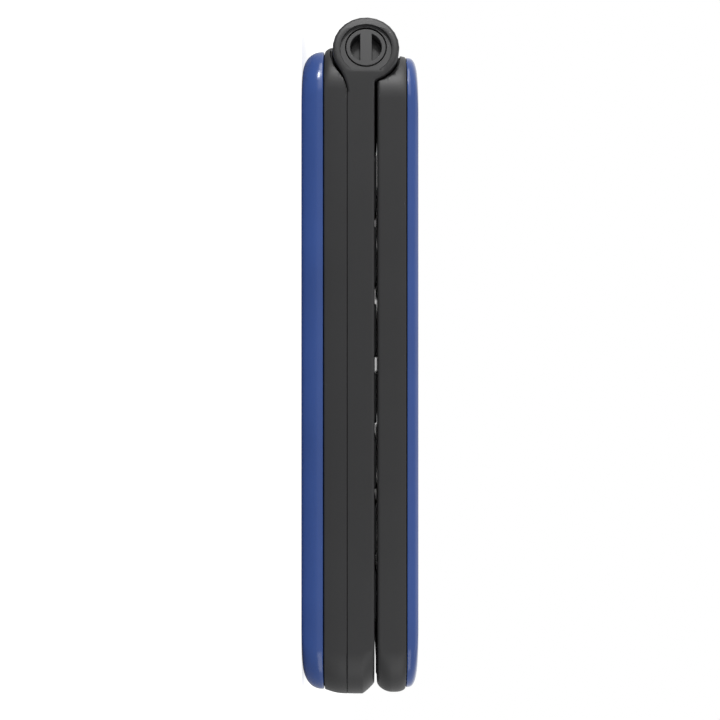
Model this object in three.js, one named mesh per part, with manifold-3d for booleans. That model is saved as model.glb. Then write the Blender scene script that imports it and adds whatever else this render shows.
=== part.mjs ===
import * as THREE from 'three';
import { mergeVertices } from 'three/addons/utils/BufferGeometryUtils.js';
import Module from 'manifold-3d';

// A closed flip phone that lies on its back: the lid is on top, the keypad half is below.
// Millimetres, +Z up, +Y towards the hinge, +X to the user's right.
// The origin is the middle of the flat back of the rear cover.

// Closed size
const phoneWidth = 53;
const phoneLength = 107;
const rearCoverDepth = 3.4;
const rearSeam = 0.15;
const rearHousingDepth = 3.62;
const frontHousingDepth = 4.21;
const lidGap = 0.43;
const lidHousingDepth = 4.52;
const lidSeam = 0.1;
const lidCoverDepth = 1.79;

// Outline seen from the front
const keypadCorner = 8.2;
const hingeCorner = 8.4;
const coverStepIn = 0.1;
const keypadStepIn = 0.7;
const keypadStepCurve = 2.2;
const hingeStepIn = 0.7;
const hingeStepCurve = 7;
const spigotInset = 0.45;
const spigotGap = 0.03;
const lidShorter = 0.25;
const lidKeypadStepIn = 0.75;
const lidHingeStepIn = 0.3;
const shoulderStart = 4.85;
const shoulderRadius = 30;

// Edges: the covers roll over like a pebble, the housings have tight lips, and at the keypad end the
// base has a chamfer and the lid a nose that meets its face at a crease
const rearRimWidth = 4.4;
const rearRimDepth = 3.2;
const lidRimWidth = 5.4;
const lidRimDepth = 1.65;
const rearRimFullness = 2.2;
const lidRimFullness = 2.8;
const rimSideShare = 0.3;
const rimHingeShare = 0.85;
const lipRadius = 0.45;
const chamferReach = 1.78;
const chamferDepth = 1.65;
const noseRadius = 2.5;
const noseDepth = 2.35;
const lidShoulder = 1.6;

// Hinge
const knuckleRadius = 5.2;
const knuckleWidth = 8.15;
const axisBelowPlate = 1.35;
const baseBehindAxis = 1.85;
const lidBehindAxis = 0.5;
const barrelRadius = 5.05;
const barrelEndGap = 0.25;
const troughClearance = 0.45;
const notchClearance = 0.25;
const neckLength = 7.45;
const neckFillet = 0.6;
const knuckleSlit = 0.4;
const slitDepth = 4;
const knuckleBore = 3.2;
const capRadius = 3.1;
const capSeat = 3.3;
const capProud = 0.15;
const capBar = 1.85;
const capRise = 0.25;
const capPocket = 1.7;
const capPocketRadius = 2.42;
const counterboreRadius = 4;
const counterboreTilt = 13;
const counterboreDepth = 0.45;
const clearOfFace = 4;
const cartridgeRadius = 2.9;
const cartridgeLength = 16.6;
const cartridgeWall = 0.45;
const cartridgeFloor = 0.8;
const shaftHead = 2.4;
const collarLength = 2;
const followerLength = 2.6;
const slideGap = 0.15;
const shaftRadius = 0.9;
const springWire = 0.5;
const springTurns = 7;
const bushRadius = 3;
const bushBore = 1.9;
const bushLength = 9;
const flexWidth = 2.6;
const flexThickness = 0.3;
const flexSlotIn = 9;
const flexRunHeight = 1.2;
const flexTail = 4;

// Walls and fits
const wall = 1.4;
const endWall = 1.8;
const coverSkin = 1.15;
const coverLedge = 1;
const plateThickness = 1.2;
const lidPlateThickness = 1.07;
const fit = 0.3;
const seat = 0.1;
const boardGap = 0.16;
const pressGap = 0.12;
const lensGap = 0.15;
const weld = 0.2;

// Keypad
const keypadMargin = 3.5;
const chin = 11.9;
const keypadBelowAxis = 15.65;
const navSize = 21.2;
const functionKeyHeight = 8.8;
const rowGap = 2.1;
const columnGap = 1.8;
const sideKeyGap = 1.6;
const keyCorner = 1.4;
const keyProud = 0.35;
const keyEdge = 0.2;
const keyTravel = 0.35;
const flangeWidth = 0.5;
const flangeDepth = 0.45;
const flangeGap = 0.35;
const matGap = 0.05;
const matBorder = 0.9;
const okRadius = 5.1;
const navProud = 0.2;
const navFlangeInset = 3.4;
const gimbalThickness = 0.3;

// Boards and modules
const boardThickness = 0.9;
const domeThickness = 0.15;
const batteryFromKeypadEnd = 9.5;
const batteryBelowAxis = 40.35;
const batteryWidth = 37;
const bayFloor = 0.9;
const simWidth = 16;
const simLength = 14;
const simDepth = 1.1;
const simFromBatteryEnd = 3;
const simAirGap = 1.15;
const portWidth = 7.5;
const portDepth = 5.2;
const portHeight = 2.5;
const portSetBack = 0.5;
const portSheet = 0.35;
const speakerWidth = 15;
const speakerLength = 10.5;
const speakerBelowAxis = 14.75;
const grilleSlots = 5;
const grillePitch = 1.8;
const grilleSlotWidth = 0.8;
const grilleSlotLength = 6;
const soundSlotWidth = 4;
const soundSlotLength = 2;
const motorRadius = 5;
const motorThickness = 2.5;
const motorInset = 1.5;
const motorBelowAxis = 27;
const microphoneWidth = 3.6;
const microphoneLength = 2.8;
const microphoneHeight = 1;
const microphoneFromKeypadEnd = 5.6;
const microphoneHole = 0.5;
const rockerLength = 13.4;
const rockerHeight = 1.6;
const rockerBelowAxis = 21.8;
const rockerProud = 0.45;
const rockerLug = 1;

// Lid modules
const lensThickness = 0.7;
const lensMargin = 3.4;
const lensFromKeypadEnd = 15;
const lensBelowAxis = 11.5;
const lensCorner = 2;
const lensLedge = 2.1;
const displayInset = 1.4;
const displayBelowAxis = 27.4;
const displayThickness = 1.8;
const lidBoardInset = 1;
const lidBoardThickness = 0.6;
const outerDisplayThickness = 1.5;
const outerLensWidth = 27;
const outerLensLength = 21;
const outerLensBelowAxis = 33;
const cameraBelowAxis = 14.5;
const cameraSize = 7;
const cameraBarrel = 2.5;
const cameraWindowRadius = 4.6;
const earpieceWidth = 11;
const earpieceLength = 6;
const earpieceDepth = 2.3;
const earpieceFromKeypadEnd = 7.6;
const earSlotPitch = 2.4;
const earSlotLength = 1.6;
const earSlotWidth = 1;
const magnetLength = 8;
const magnetWidth = 2.4;
const magnetFromLensEnd = 4;

// Fasteners and bumpers
const screwHeadRadius = 1.3;
const screwShankRadius = 0.7;
const screwHeadHeight = 0.8;
const screwLength = 5;
const screwCounterbore = 1.5;
const bossRadius = 1.9;
const towerWall = 0.5;
const towerFloor = 0.5;
const screwInset = 5.6;
const bumperRadius = 2;
const bumperProud = 0.2;
const bumperSeat = 0.75;

// Curve counts
const cornerSteps = 6;
const smallCornerSteps = 2;
const rimSteps = 6;
const roundSides = 24;
const hingeSides = 36;
const springSteps = 9;

// Heights, from the back upwards
const halfWidth = phoneWidth / 2;
const rearHousingBottom = rearCoverDepth + rearSeam;
const seamZ = rearHousingBottom + rearHousingDepth;
const plateTop = seamZ + frontHousingDepth;
const lidFace = plateTop + lidGap;
const lidHousingTop = lidFace + lidHousingDepth;
const lidCoverBottom = lidHousingTop + lidSeam;
const phoneTop = lidCoverBottom + lidCoverDepth;

// Ends, from the keypad end to the hinge
const keypadEnd = -phoneLength / 2;
const axisY = phoneLength / 2 - knuckleRadius;
const axisZ = plateTop - axisBelowPlate;
const baseEnd = axisY + baseBehindAxis;
const lidEnd = axisY + lidBehindAxis;
const lidKeypadEnd = keypadEnd + lidShorter;
const knuckleInner = halfWidth - knuckleWidth;
const barrelHalf = knuckleInner - barrelEndGap;
const troughRadius = barrelRadius + troughClearance;
const notchRadius = knuckleRadius + notchClearance;

const wasm = await Module();
wasm.setup();

// Closed solids from geometries, and back again
function solidOf(geometry) {
  const bare = new THREE.BufferGeometry();
  bare.setAttribute('position', geometry.getAttribute('position').clone());
  if (geometry.index) bare.setIndex(geometry.index.clone());
  const merged = mergeVertices(bare, 1e-4);
  const index = merged.index.array;
  const triangles = [];
  for (let i = 0; i < index.length; i += 3) {
    const [a, b, c] = [index[i], index[i + 1], index[i + 2]];
    if (a !== b && b !== c && c !== a) triangles.push(a, b, c);
  }
  return new wasm.Manifold(new wasm.Mesh({
    numProp: 3,
    vertProperties: new Float32Array(merged.getAttribute('position').array),
    triVerts: new Uint32Array(triangles),
  }));
}

function geometryOf(solid) {
  const mesh = solid.getMesh();
  const geometry = new THREE.BufferGeometry();
  geometry.setAttribute('position', new THREE.BufferAttribute(new Float32Array(mesh.vertProperties), 3));
  geometry.setIndex(new THREE.BufferAttribute(new Uint32Array(mesh.triVerts), 1));
  return geometry;
}

const join = (first, ...others) => others.reduce((sum, other) => sum.add(other), first);
const cut = (first, ...others) => others.reduce((rest, other) => rest.subtract(other), first);

// Solid through a stack of rounded rectangles, from low z to high z
function stack(levels, steps = cornerSteps) {
  const points = [];
  for (const { z, x0, x1, y0, y1, low, high } of levels) {
    const corners = [
      [x1 - high, y1 - high, high], [x0 + high, y1 - high, high],
      [x0 + low, y0 + low, low], [x1 - low, y0 + low, low],
    ];
    corners.forEach(([cx, cy, radius], quarter) => {
      for (let i = 0; i <= steps; i += 1) {
        const angle = (quarter + i / steps) * Math.PI / 2;
        points.push(cx + radius * Math.cos(angle), cy + radius * Math.sin(angle), z);
      }
    });
  }
  const ring = 4 * (steps + 1);
  const last = (levels.length - 1) * ring;
  const index = [];
  for (let level = 0; level < levels.length - 1; level += 1) {
    for (let i = 0; i < ring; i += 1) {
      const a = level * ring + i;
      const b = level * ring + (i + 1) % ring;
      index.push(a, b, b + ring, a, b + ring, a + ring);
    }
  }
  for (let i = 1; i < ring - 1; i += 1) {
    index.push(0, i + 1, i);
    index.push(last, last + i, last + i + 1);
  }
  const geometry = new THREE.BufferGeometry();
  geometry.setAttribute('position', new THREE.Float32BufferAttribute(points, 3));
  geometry.setIndex(index);
  return solidOf(geometry);
}

// One level of a body outline, drawn in by inset all round and by low and high at its two ends
function level(body, z, inset, low = inset, high = inset) {
  return {
    z,
    x0: -body.half + inset,
    x1: body.half - inset,
    y0: body.y0 + low,
    y1: body.y1 - high,
    low: Math.max(keypadCorner - inset, 0.2),
    high: Math.max(hingeCorner - inset, 0.2),
  };
}

// Rim of a pebble edge as [inset, rise] pairs, from the flat face to the side wall at the keypad end
function rim(width, depth, fullness) {
  const pairs = [];
  for (let i = 0; i <= rimSteps; i += 1) {
    const angle = i / rimSteps * Math.PI / 2;
    const across = Math.sin(angle) ** (2 / fullness);
    const along = Math.cos(angle) ** (2 / fullness);
    pairs.push([width * (1 - across), depth * (1 - along)]);
  }
  return pairs;
}

// One level of a cover's rim, which is tight at the sides and widest at the keypad end
function rimLevel(body, z, inset) {
  return level(body, z, inset * rimSideShare, inset, inset * rimHingeShare);
}

// How far a rounded edge of the given radius has drawn in at a height below its face
function edgeInset(below, radius) {
  if (below >= radius) return 0;
  const reach = radius - below;
  return radius - Math.sqrt(radius * radius - reach * reach);
}

// Edge of a face as [depth, side inset, keypad end inset], from the side wall to the face: a tight lip
// at the sides, and at the keypad end the form that the given function draws in by depth
function faceEdge(depth, endInset) {
  const depths = [];
  for (let i = 0; i < 4; i += 1) depths.push(depth - i / 4 * (depth - lipRadius));
  for (let i = 0; i <= 3; i += 1) depths.push(lipRadius * (1 - Math.sin(i * Math.PI / 6)));
  return depths.map((below) => [below, edgeInset(below, lipRadius), endInset(below)]);
}

function plate(x0, x1, y0, y1, z0, z1, radius = 0.2) {
  const flat = { x0, x1, y0, y1, low: radius, high: radius };
  return stack([{ ...flat, z: z0 }, { ...flat, z: z1 }], smallCornerSteps);
}

function block(x0, x1, y0, y1, z0, z1) {
  const box = new THREE.BoxGeometry(x1 - x0, y1 - y0, z1 - z0);
  return solidOf(box.translate((x0 + x1) / 2, (y0 + y1) / 2, (z0 + z1) / 2));
}

function discZ(x, y, radius, z0, z1, sides = roundSides) {
  const disc = new THREE.CylinderGeometry(radius, radius, z1 - z0, sides).rotateX(Math.PI / 2);
  return solidOf(disc.translate(x, y, (z0 + z1) / 2));
}

// Round bar about the hinge axis, or above it by rise, between two places across the phone
function barX(radius, x0, x1, sides = roundSides, rise = 0) {
  const bar = new THREE.CylinderGeometry(radius, radius, x1 - x0, sides).rotateZ(Math.PI / 2);
  return solidOf(bar.translate((x0 + x1) / 2, axisY + rise, axisZ));
}

// A side-view outline in y and z, given its thickness across the phone
function sideProfile(shape, x0, x1) {
  const slab = new THREE.ExtrudeGeometry(shape, { depth: x1 - x0, bevelEnabled: false, curveSegments: 10 });
  const turn = new THREE.Matrix4().makeBasis(
    new THREE.Vector3(0, 1, 0), new THREE.Vector3(0, 0, 1), new THREE.Vector3(1, 0, 0),
  );
  return solidOf(slab.applyMatrix4(turn).translate(x0, 0, 0));
}

// Body outlines
const base = { half: halfWidth, y0: keypadEnd, y1: baseEnd };
const rear = { half: halfWidth - coverStepIn, y0: keypadEnd + keypadStepIn, y1: baseEnd - hingeStepIn };
const lid = { half: halfWidth, y0: lidKeypadEnd, y1: lidEnd };
const cover = {
  half: halfWidth - coverStepIn,
  y0: lidKeypadEnd + lidKeypadStepIn,
  y1: lidEnd - lidHingeStepIn,
};

// Neck and knuckle seen from the side: a round eye on a neck that flares out of the front housing.
// The eye can be drawn larger, and the flare then meets the seam at the same place.
function neckShape(grow) {
  const eye = knuckleRadius + grow;
  const drop = axisZ - seamZ;
  const flareRadius = (neckLength ** 2 - eye ** 2 + drop ** 2) / (2 * (eye - drop));
  const flareY = axisY - neckLength;
  const flareZ = seamZ - flareRadius;
  const lift = plateTop - axisZ;
  const fillet = neckFillet;
  const filletY = axisY - Math.sqrt((eye + fillet) ** 2 - (lift + fillet) ** 2);
  const filletZ = plateTop + fillet;
  const flareEnd = Math.atan2(axisZ - flareZ, axisY - flareY);
  const filletEnd = Math.atan2(axisZ - filletZ, axisY - filletY);
  const start = flareY - 2;
  const shape = new THREE.Shape();
  shape.moveTo(start, seamZ);
  shape.lineTo(flareY, seamZ);
  shape.absarc(flareY, flareZ, flareRadius, Math.PI / 2, flareEnd, true);
  shape.absarc(axisY, axisZ, eye, flareEnd + Math.PI, filletEnd + Math.PI, false);
  shape.absarc(filletY, filletZ, fillet, filletEnd, -Math.PI / 2, true);
  shape.lineTo(start, plateTop);
  shape.closePath();
  return shape;
}

// Plan of the knuckles: straight sides that bend gently inwards past the shoulder
function shoulderSolid() {
  const shape = new THREE.Shape();
  const bendY = axisY - shoulderStart;
  const reach = shoulderStart + knuckleRadius + 1;
  const sweep = Math.asin(reach / shoulderRadius);
  const centre = halfWidth - shoulderRadius;
  shape.moveTo(-halfWidth, keypadEnd);
  shape.lineTo(halfWidth, keypadEnd);
  shape.lineTo(halfWidth, bendY);
  shape.absarc(centre, bendY, shoulderRadius, 0, sweep, false);
  shape.absarc(-centre, bendY, shoulderRadius, Math.PI - sweep, Math.PI, false);
  shape.closePath();
  const slab = new THREE.ExtrudeGeometry(shape, { depth: phoneTop, bevelEnabled: false, curveSegments: 8 });
  return solidOf(slab);
}

// Face of a knuckle at the axis, measured in from the straight side
const faceDrop = shoulderRadius - Math.sqrt(shoulderRadius ** 2 - shoulderStart ** 2);
const knuckleFace = halfWidth - faceDrop;

// Bar whose outer end leans back with the counterbore; side is 1 on the right, -1 on the left
function leaningBar(side, radius, fromFace, toFace, rise = 0, sides = roundSides) {
  const length = toFace - fromFace;
  const bar = new THREE.CylinderGeometry(radius, radius, length, sides).rotateZ(Math.PI / 2);
  bar.translate(side * (fromFace + toFace) / 2, 0, 0);
  bar.rotateZ(side * THREE.MathUtils.degToRad(counterboreTilt));
  return solidOf(bar.translate(side * knuckleFace, axisY + rise, axisZ));
}

// Keypad: every key as its middle, size and name
const keypadHalf = halfWidth - keypadMargin;
const navTop = axisY - keypadBelowAxis;
const navY = navTop - navSize / 2;
const functionTop = navTop - navSize - rowGap - fit;
const numbersTop = functionTop - functionKeyHeight - rowGap;
const numbersBottom = keypadEnd + chin;
const numberHeight = (numbersTop - numbersBottom - 3 * rowGap) / 4;
const keyWidth = (2 * keypadHalf - 2 * columnGap) / 3;
const columnPitch = keyWidth + columnGap;
const sideKeyWidth = keypadHalf - navSize / 2 - sideKeyGap;
const sideKeyHeight = (navSize - sideKeyGap) / 2;

const keys = [];
['send_key', 'clear_key', 'end_key'].forEach((name, column) => {
  const y = functionTop - functionKeyHeight / 2;
  keys.push({ name, x: (column - 1) * columnPitch, y, width: keyWidth, height: functionKeyHeight });
});
const numberRows = [['1', '2', '3'], ['4', '5', '6'], ['7', '8', '9'], ['star', '0', 'hash']];
numberRows.forEach((row, line) => {
  const y = numbersTop - numberHeight / 2 - line * (numberHeight + rowGap);
  row.forEach((label, column) => {
    const x = (column - 1) * columnPitch;
    keys.push({ name: `key_${label}`, x, y, width: keyWidth, height: numberHeight });
  });
});
[['soft_key_left', -1, 1], ['soft_key_right', 1, 1], ['message_key', -1, -1], ['speaker_key', 1, -1]]
  .forEach(([name, side, up]) => {
    const x = side * (keypadHalf - sideKeyWidth / 2);
    const y = navY + up * (sideKeyHeight + sideKeyGap) / 2;
    keys.push({ name, x, y, width: sideKeyWidth, height: sideKeyHeight });
  });

// Heights inside the keypad half
const plateUnder = plateTop - plateThickness;
const flangeTop = plateUnder - flangeGap;
const flangeBottom = flangeTop - flangeDepth;
const boardBottom = seamZ + boardGap;
const boardTop = boardBottom + boardThickness;
const domeTop = boardTop + domeThickness;
const matTop = flangeBottom - keyTravel - matGap;
const skinTop = rearHousingBottom + bayFloor;
const bayTop = seamZ - bayFloor;

const rockerY = axisY - rockerBelowAxis;
const rockerZ = (boardTop + plateUnder) / 2;
const portTop = boardBottom - seat / 2;
const speakerY = axisY - speakerBelowAxis;
const motorX = -(halfWidth - wall - motorInset - motorRadius);
const motorY = axisY - motorBelowAxis;
const batteryY0 = keypadEnd + batteryFromKeypadEnd;
const batteryY1 = axisY - batteryBelowAxis;
const simEnd = batteryY1 - simFromBatteryEnd;
const portStart = keypadEnd + portSetBack;
const portEnd = portStart + portDepth;
const microphoneY = keypadEnd + microphoneFromKeypadEnd;
const flexX = -knuckleInner - 0.4 - flexWidth;
const flexRunTop = axisZ - seat;
const screwX = halfWidth - screwInset;
const baseScrewY = keypadEnd + screwInset;
const baseScrewSeat = rearHousingBottom + screwCounterbore;

function key({ x, y, width, height }) {
  const w = width / 2 - fit / 2;
  const h = height / 2 - fit / 2;
  const cap = { low: keyCorner, high: keyCorner };
  const crown = plateTop + keyProud;
  const ring = (z, grow) => (
    { z, x0: x - w - grow, x1: x + w + grow, y0: y - h - grow, y1: y + h + grow, ...cap });
  const levels = [ring(flangeTop - weld, 0), ring(crown - keyEdge, 0), ring(crown, -keyEdge)];
  const body = stack(levels, smallCornerSteps);
  const flange = stack([ring(flangeBottom, flangeWidth), ring(flangeTop, flangeWidth)], 1);
  return join(body, flange);
}

function keyHole({ x, y, width, height }) {
  const w = width / 2 + fit / 2;
  const h = height / 2 + fit / 2;
  return plate(x - w, x + w, y - h, y + h, plateUnder - 1, plateTop + 1, keyCorner + fit);
}

const parts = [];
function add(name, solid, color, roughness, metalness = 0) {
  parts.push({ name, solid, color, roughness, metalness });
}

const blue = 0x384c81;
const grey = 0x3a3a3b;
const keyGrey = 0x2b2c2e;
const steel = 0xb9bcc0;
const boardGreen = 0x1f5a3a;
const lensBlack = 0x0b0c0e;

// Keypad half: housings and cover
function rearCover() {
  const edge = rim(rearRimWidth, rearRimDepth, rearRimFullness);
  const body = edge.map(([inset, rise]) => rimLevel(rear, rise, inset));
  body.push(level(rear, rearCoverDepth, coverStepIn));
  const hollowInset = wall + coverLedge;
  const hollow = stack([level(rear, coverSkin, hollowInset), level(rear, rearCoverDepth + 1, hollowInset)]);
  const slots = Array.from({ length: grilleSlots }, (_, i) => {
    const x = (i - (grilleSlots - 1) / 2) * grillePitch;
    const [w, h] = [grilleSlotWidth / 2, grilleSlotLength / 2];
    return plate(x - w, x + w, speakerY - h, speakerY + h, -1, coverSkin + 1, w - 0.01);
  });
  return cut(stack(body), hollow, ...slots);
}

function baseRearHousing() {
  const outside = stack([0, 0.1, 0.25, 0.55, 1].map((share) => {
    const z = rearHousingBottom + share * rearHousingDepth;
    const low = (1 - share) ** keypadStepCurve * keypadStepIn;
    const high = (1 - share) ** hingeStepCurve * hingeStepIn;
    return level(base, z, (1 - share) ** keypadStepCurve * coverStepIn, low, high);
  }));
  const spigot = stack([
    level(rear, rearCoverDepth + spigotGap, spigotInset), level(rear, rearHousingBottom + weld, spigotInset),
  ]);
  const bay = plate(
    -batteryWidth / 2 - fit, batteryWidth / 2 + fit, batteryY0 - fit, batteryY1 + fit,
    rearHousingBottom - 1, bayTop, 1,
  );
  const simHole = plate(
    -simWidth / 2 - fit, simWidth / 2 + fit, simEnd - simLength - fit, simEnd + fit,
    bayTop - 1, seamZ + 1,
  );
  const inside = halfWidth - wall;
  const pocketEnd = axisY - neckLength - wall;
  const pocket = plate(-inside, inside, batteryY1 + fit + wall, pocketEnd, skinTop, seamZ + 1, 2);
  const soundSlots = [-1, 1].map((side) => {
    const x = side * (soundSlotWidth / 2 + coverLedge);
    const [w, h] = [soundSlotWidth / 2, soundSlotLength / 2];
    return plate(x - w, x + w, speakerY - h, speakerY + h, rearHousingBottom - 1, skinTop + 1);
  });
  const sidePockets = [-1, 1].map((side) => {
    const near = batteryWidth / 2 + fit + wall;
    const [x0, x1] = side > 0 ? [near, inside] : [-inside, -near];
    return plate(x0, x1, batteryY0 + wall, batteryY1 - wall, skinTop, seamZ + 1);
  });
  const necks = [-1, 1].flatMap((side) => [[knuckleSlit, halfWidth - slitDepth], [seat, knuckleInner]]
    .map(([grow, inner]) => {
      const [x0, x1] = side > 0 ? [inner, phoneWidth] : [-phoneWidth, -inner];
      return sideProfile(neckShape(grow), x0, x1);
    }));
  const trough = barX(troughRadius, -knuckleInner - weld, knuckleInner + weld, hingeSides);
  const portCut = plate(
    -portWidth / 2 - fit, portWidth / 2 + fit, keypadEnd - 1, portEnd + fit,
    portTop - portHeight - fit, seamZ + 1,
  );
  const openings = [bay, simHole, pocket, ...soundSlots, ...sidePockets, portCut, ...baseScrewCuts()];
  return cut(join(outside, spigot), ...openings, ...necks, trough);
}

function baseScrewCuts() {
  return [-1, 1].flatMap((side) => [
    discZ(side * screwX, baseScrewY, screwHeadRadius + fit, rearHousingBottom - 1, baseScrewSeat, 16),
    discZ(side * screwX, baseScrewY, screwShankRadius + fit, rearHousingBottom - 1, seamZ + 1, 16),
  ]);
}

function baseFrontHousing() {
  const face = faceEdge(chamferDepth, (below) => chamferReach * (1 - below / chamferDepth));
  const levels = face.map(([below, side, drawn]) => level(base, plateTop - below, side, drawn, 0));
  levels.unshift(level(base, seamZ, 0));
  const slabEnd = axisY - neckLength + neckFillet;
  const behind = block(-phoneWidth, phoneWidth, slabEnd, phoneLength, seamZ - 1, plateTop + 1);
  const middle = block(-knuckleInner, knuckleInner, slabEnd - 1, axisY - knuckleRadius, seamZ, plateTop);
  const arms = [-1, 1].map((side) => {
    const [x0, x1] = side > 0 ? [knuckleInner, halfWidth] : [-halfWidth, -knuckleInner];
    return sideProfile(neckShape(0), x0, x1);
  });
  const trough = barX(troughRadius, -knuckleInner, knuckleInner, hingeSides);
  const outside = join(cut(stack(levels), behind), middle, ...arms);
  const shaped = cut(outside, trough).intersect(shoulderSolid());
  const inside = halfWidth - wall;
  const insideEnd = axisY - troughRadius - wall;
  const hollow = plate(
    -inside, inside, keypadEnd + endWall, insideEnd, seamZ - 1, plateUnder, keypadCorner - wall,
  );
  const bosses = [-1, 1].map((side) => (
    discZ(side * screwX, baseScrewY, bossRadius, boardTop, plateUnder + weld)));
  const pilots = [-1, 1].map((side) => (
    discZ(side * screwX, baseScrewY, screwShankRadius + pressGap, seamZ - 1, plateUnder - seat, 16)));
  const capStart = knuckleInner + capSeat - seat;
  const bores = [-1, 1].flatMap((side) => {
    const shaftEnds = [side * (knuckleInner - 1), side * (capStart + weld)].sort((a, b) => a - b);
    const capEnds = [side * capStart, side * phoneWidth].sort((a, b) => a - b);
    return [
      barX(knuckleBore, ...shaftEnds),
      barX(knuckleBore, ...capEnds, roundSides, capRise),
      leaningBar(side, counterboreRadius, -counterboreDepth, clearOfFace),
    ];
  });
  const navHole = discZ(0, navY, navSize / 2, plateUnder - 1, plateTop + 1);
  const flexChannel = block(
    flexX - fit, flexX + flexWidth + fit, insideEnd - keypadCorner, axisY,
    flexRunTop - flexRunHeight, flexRunTop,
  );
  const rockerSlot = block(
    halfWidth - wall - rockerLug, phoneWidth,
    rockerY - rockerLength / 2 - fit, rockerY + rockerLength / 2 + fit,
    rockerZ - rockerHeight / 2 - fit, rockerZ + rockerHeight / 2 + fit,
  );
  const portCut = block(
    -portWidth / 2 - fit, portWidth / 2 + fit, keypadEnd - 1, portEnd + fit,
    seamZ - 1, portTop + fit,
  );
  const micHole = discZ(0, microphoneY, microphoneHole, plateUnder - 1, plateTop + 1, 12);
  const slots = [flexChannel, rockerSlot, portCut, micHole];
  const open = cut(shaped, hollow, ...bores, navHole, ...slots, ...keys.map(keyHole));
  return cut(join(open, ...bosses), ...pilots);
}

add('rear_cover', rearCover(), blue, 0.35);
add('base_rear_housing', baseRearHousing(), grey, 0.5);
add('base_front_housing', baseFrontHousing(), grey, 0.5);

// Power, board and modules in the keypad half
const batteryBottom = coverSkin + fit;
add('battery', plate(
  -batteryWidth / 2, batteryWidth / 2, batteryY0, batteryY1,
  batteryBottom, boardBottom - simDepth - simAirGap, 1,
), 0x2a2d33, 0.6);

function mainBoard() {
  const inside = halfWidth - wall - fit;
  const board = plate(
    -inside, inside, keypadEnd + endWall + fit, axisY - troughRadius - wall - fit,
    boardBottom, boardTop, keypadCorner - wall,
  );
  const holes = [-1, 1].map((side) => (
    discZ(side * screwX, baseScrewY, screwShankRadius + fit, boardBottom - 1, boardTop + 1, 16)));
  return cut(board, ...holes);
}
add('main_board', mainBoard(), boardGreen, 0.5);
add('sim_socket', plate(
  -simWidth / 2, simWidth / 2, simEnd - simLength, simEnd, boardBottom - simDepth, boardBottom,
), steel, 0.35, 1);

function chargingPort() {
  const half = portWidth / 2;
  const can = plate(-half, half, portStart, portEnd, portTop - portHeight, portTop);
  const mouth = plate(
    -half + portSheet, half - portSheet, portStart - 1, portEnd - 2 * portSheet,
    portTop - portHeight + portSheet, portTop - portSheet,
  );
  const middle = portTop - portHeight / 2;
  const tongue = block(
    -half + 3 * portSheet, half - 3 * portSheet, portStart + 2 * portSheet, portEnd - portSheet,
    middle - portSheet, middle + portSheet,
  );
  return join(cut(can, mouth), tongue);
}
add('charging_port', chargingPort(), steel, 0.3, 1);
add('loudspeaker', plate(
  -speakerWidth / 2, speakerWidth / 2, speakerY - speakerLength / 2, speakerY + speakerLength / 2,
  skinTop, boardBottom - seat, 1,
), 0x1c1c1e, 0.5);
add('vibration_motor', discZ(motorX, motorY, motorRadius, skinTop, skinTop + motorThickness), steel, 0.3, 1);
add('microphone', plate(
  -microphoneWidth / 2, microphoneWidth / 2,
  microphoneY - microphoneLength / 2, microphoneY + microphoneLength / 2,
  boardTop, boardTop + microphoneHeight,
), steel, 0.3, 1);

const matEnd = navTop + matBorder;
const matStart = numbersBottom - matBorder;
const navPocket = navSize / 2 + flangeWidth + fit;
function keypadLayer(z0, z1, hole) {
  const layer = plate(-keypadHalf - matBorder, keypadHalf + matBorder, matStart, matEnd, z0, z1, keyCorner);
  return hole ? cut(layer, discZ(0, navY, navPocket, z0 - 1, z1 + 1)) : layer;
}
add('dome_sheet', keypadLayer(boardTop, domeTop, false), 0xc9ccd1, 0.4, 1);
add('keypad_mat', keypadLayer(domeTop, matTop, true), 0x8e9196, 0.8);

keys.forEach((spec) => add(spec.name, key(spec), keyGrey, 0.45));

// Navigation ring, its gimbal plate and the middle key
const navOuter = navSize / 2 - fit;
const navInner = okRadius + fit;
function navRing() {
  const top = plateTop + navProud;
  const skirt = navSize / 2 - navFlangeInset;
  const flange = navOuter + flangeWidth + seat;
  const profile = [
    [navInner, flangeTop], [skirt, flangeTop], [skirt, flangeBottom], [flange, flangeBottom],
    [flange, flangeTop], [navOuter, flangeTop], [navOuter, top - keyEdge],
    [navOuter - keyEdge, top], [navInner + keyEdge, top], [navInner, top - keyEdge],
  ];
  return latheZ(0, navY, profile);
}

// Ring or disc turned about an upright axis from a closed [radius, z] profile
function latheZ(x, y, profile, sides = roundSides) {
  const points = profile.map(([radius, z]) => new THREE.Vector2(radius, z));
  points.push(points[0].clone());
  const ring = new THREE.LatheGeometry(points, sides).rotateX(Math.PI / 2);
  return solidOf(ring.translate(x, y, 0));
}
add('nav_ring', navRing(), keyGrey, 0.4);

const gimbalBottom = domeTop + fit;
const gimbalTop = gimbalBottom + gimbalThickness;
const gimbalInner = navSize / 2 - navFlangeInset - seat;
const gimbalOuter = navOuter - seat;
add('nav_gimbal', latheZ(0, navY, [
  [gimbalInner, gimbalBottom], [gimbalOuter, gimbalBottom],
  [gimbalOuter, gimbalTop], [gimbalInner, gimbalTop],
]), 0xd8d8d4, 0.5);

const okFlange = gimbalInner - fit;
const okFlangeTop = flangeTop - flangeGap;
add('ok_key', join(
  discZ(0, navY, okRadius, okFlangeTop - weld, plateTop + navProud),
  discZ(0, navY, okFlange, matTop + seat, okFlangeTop),
), keyGrey, 0.4);

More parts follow.
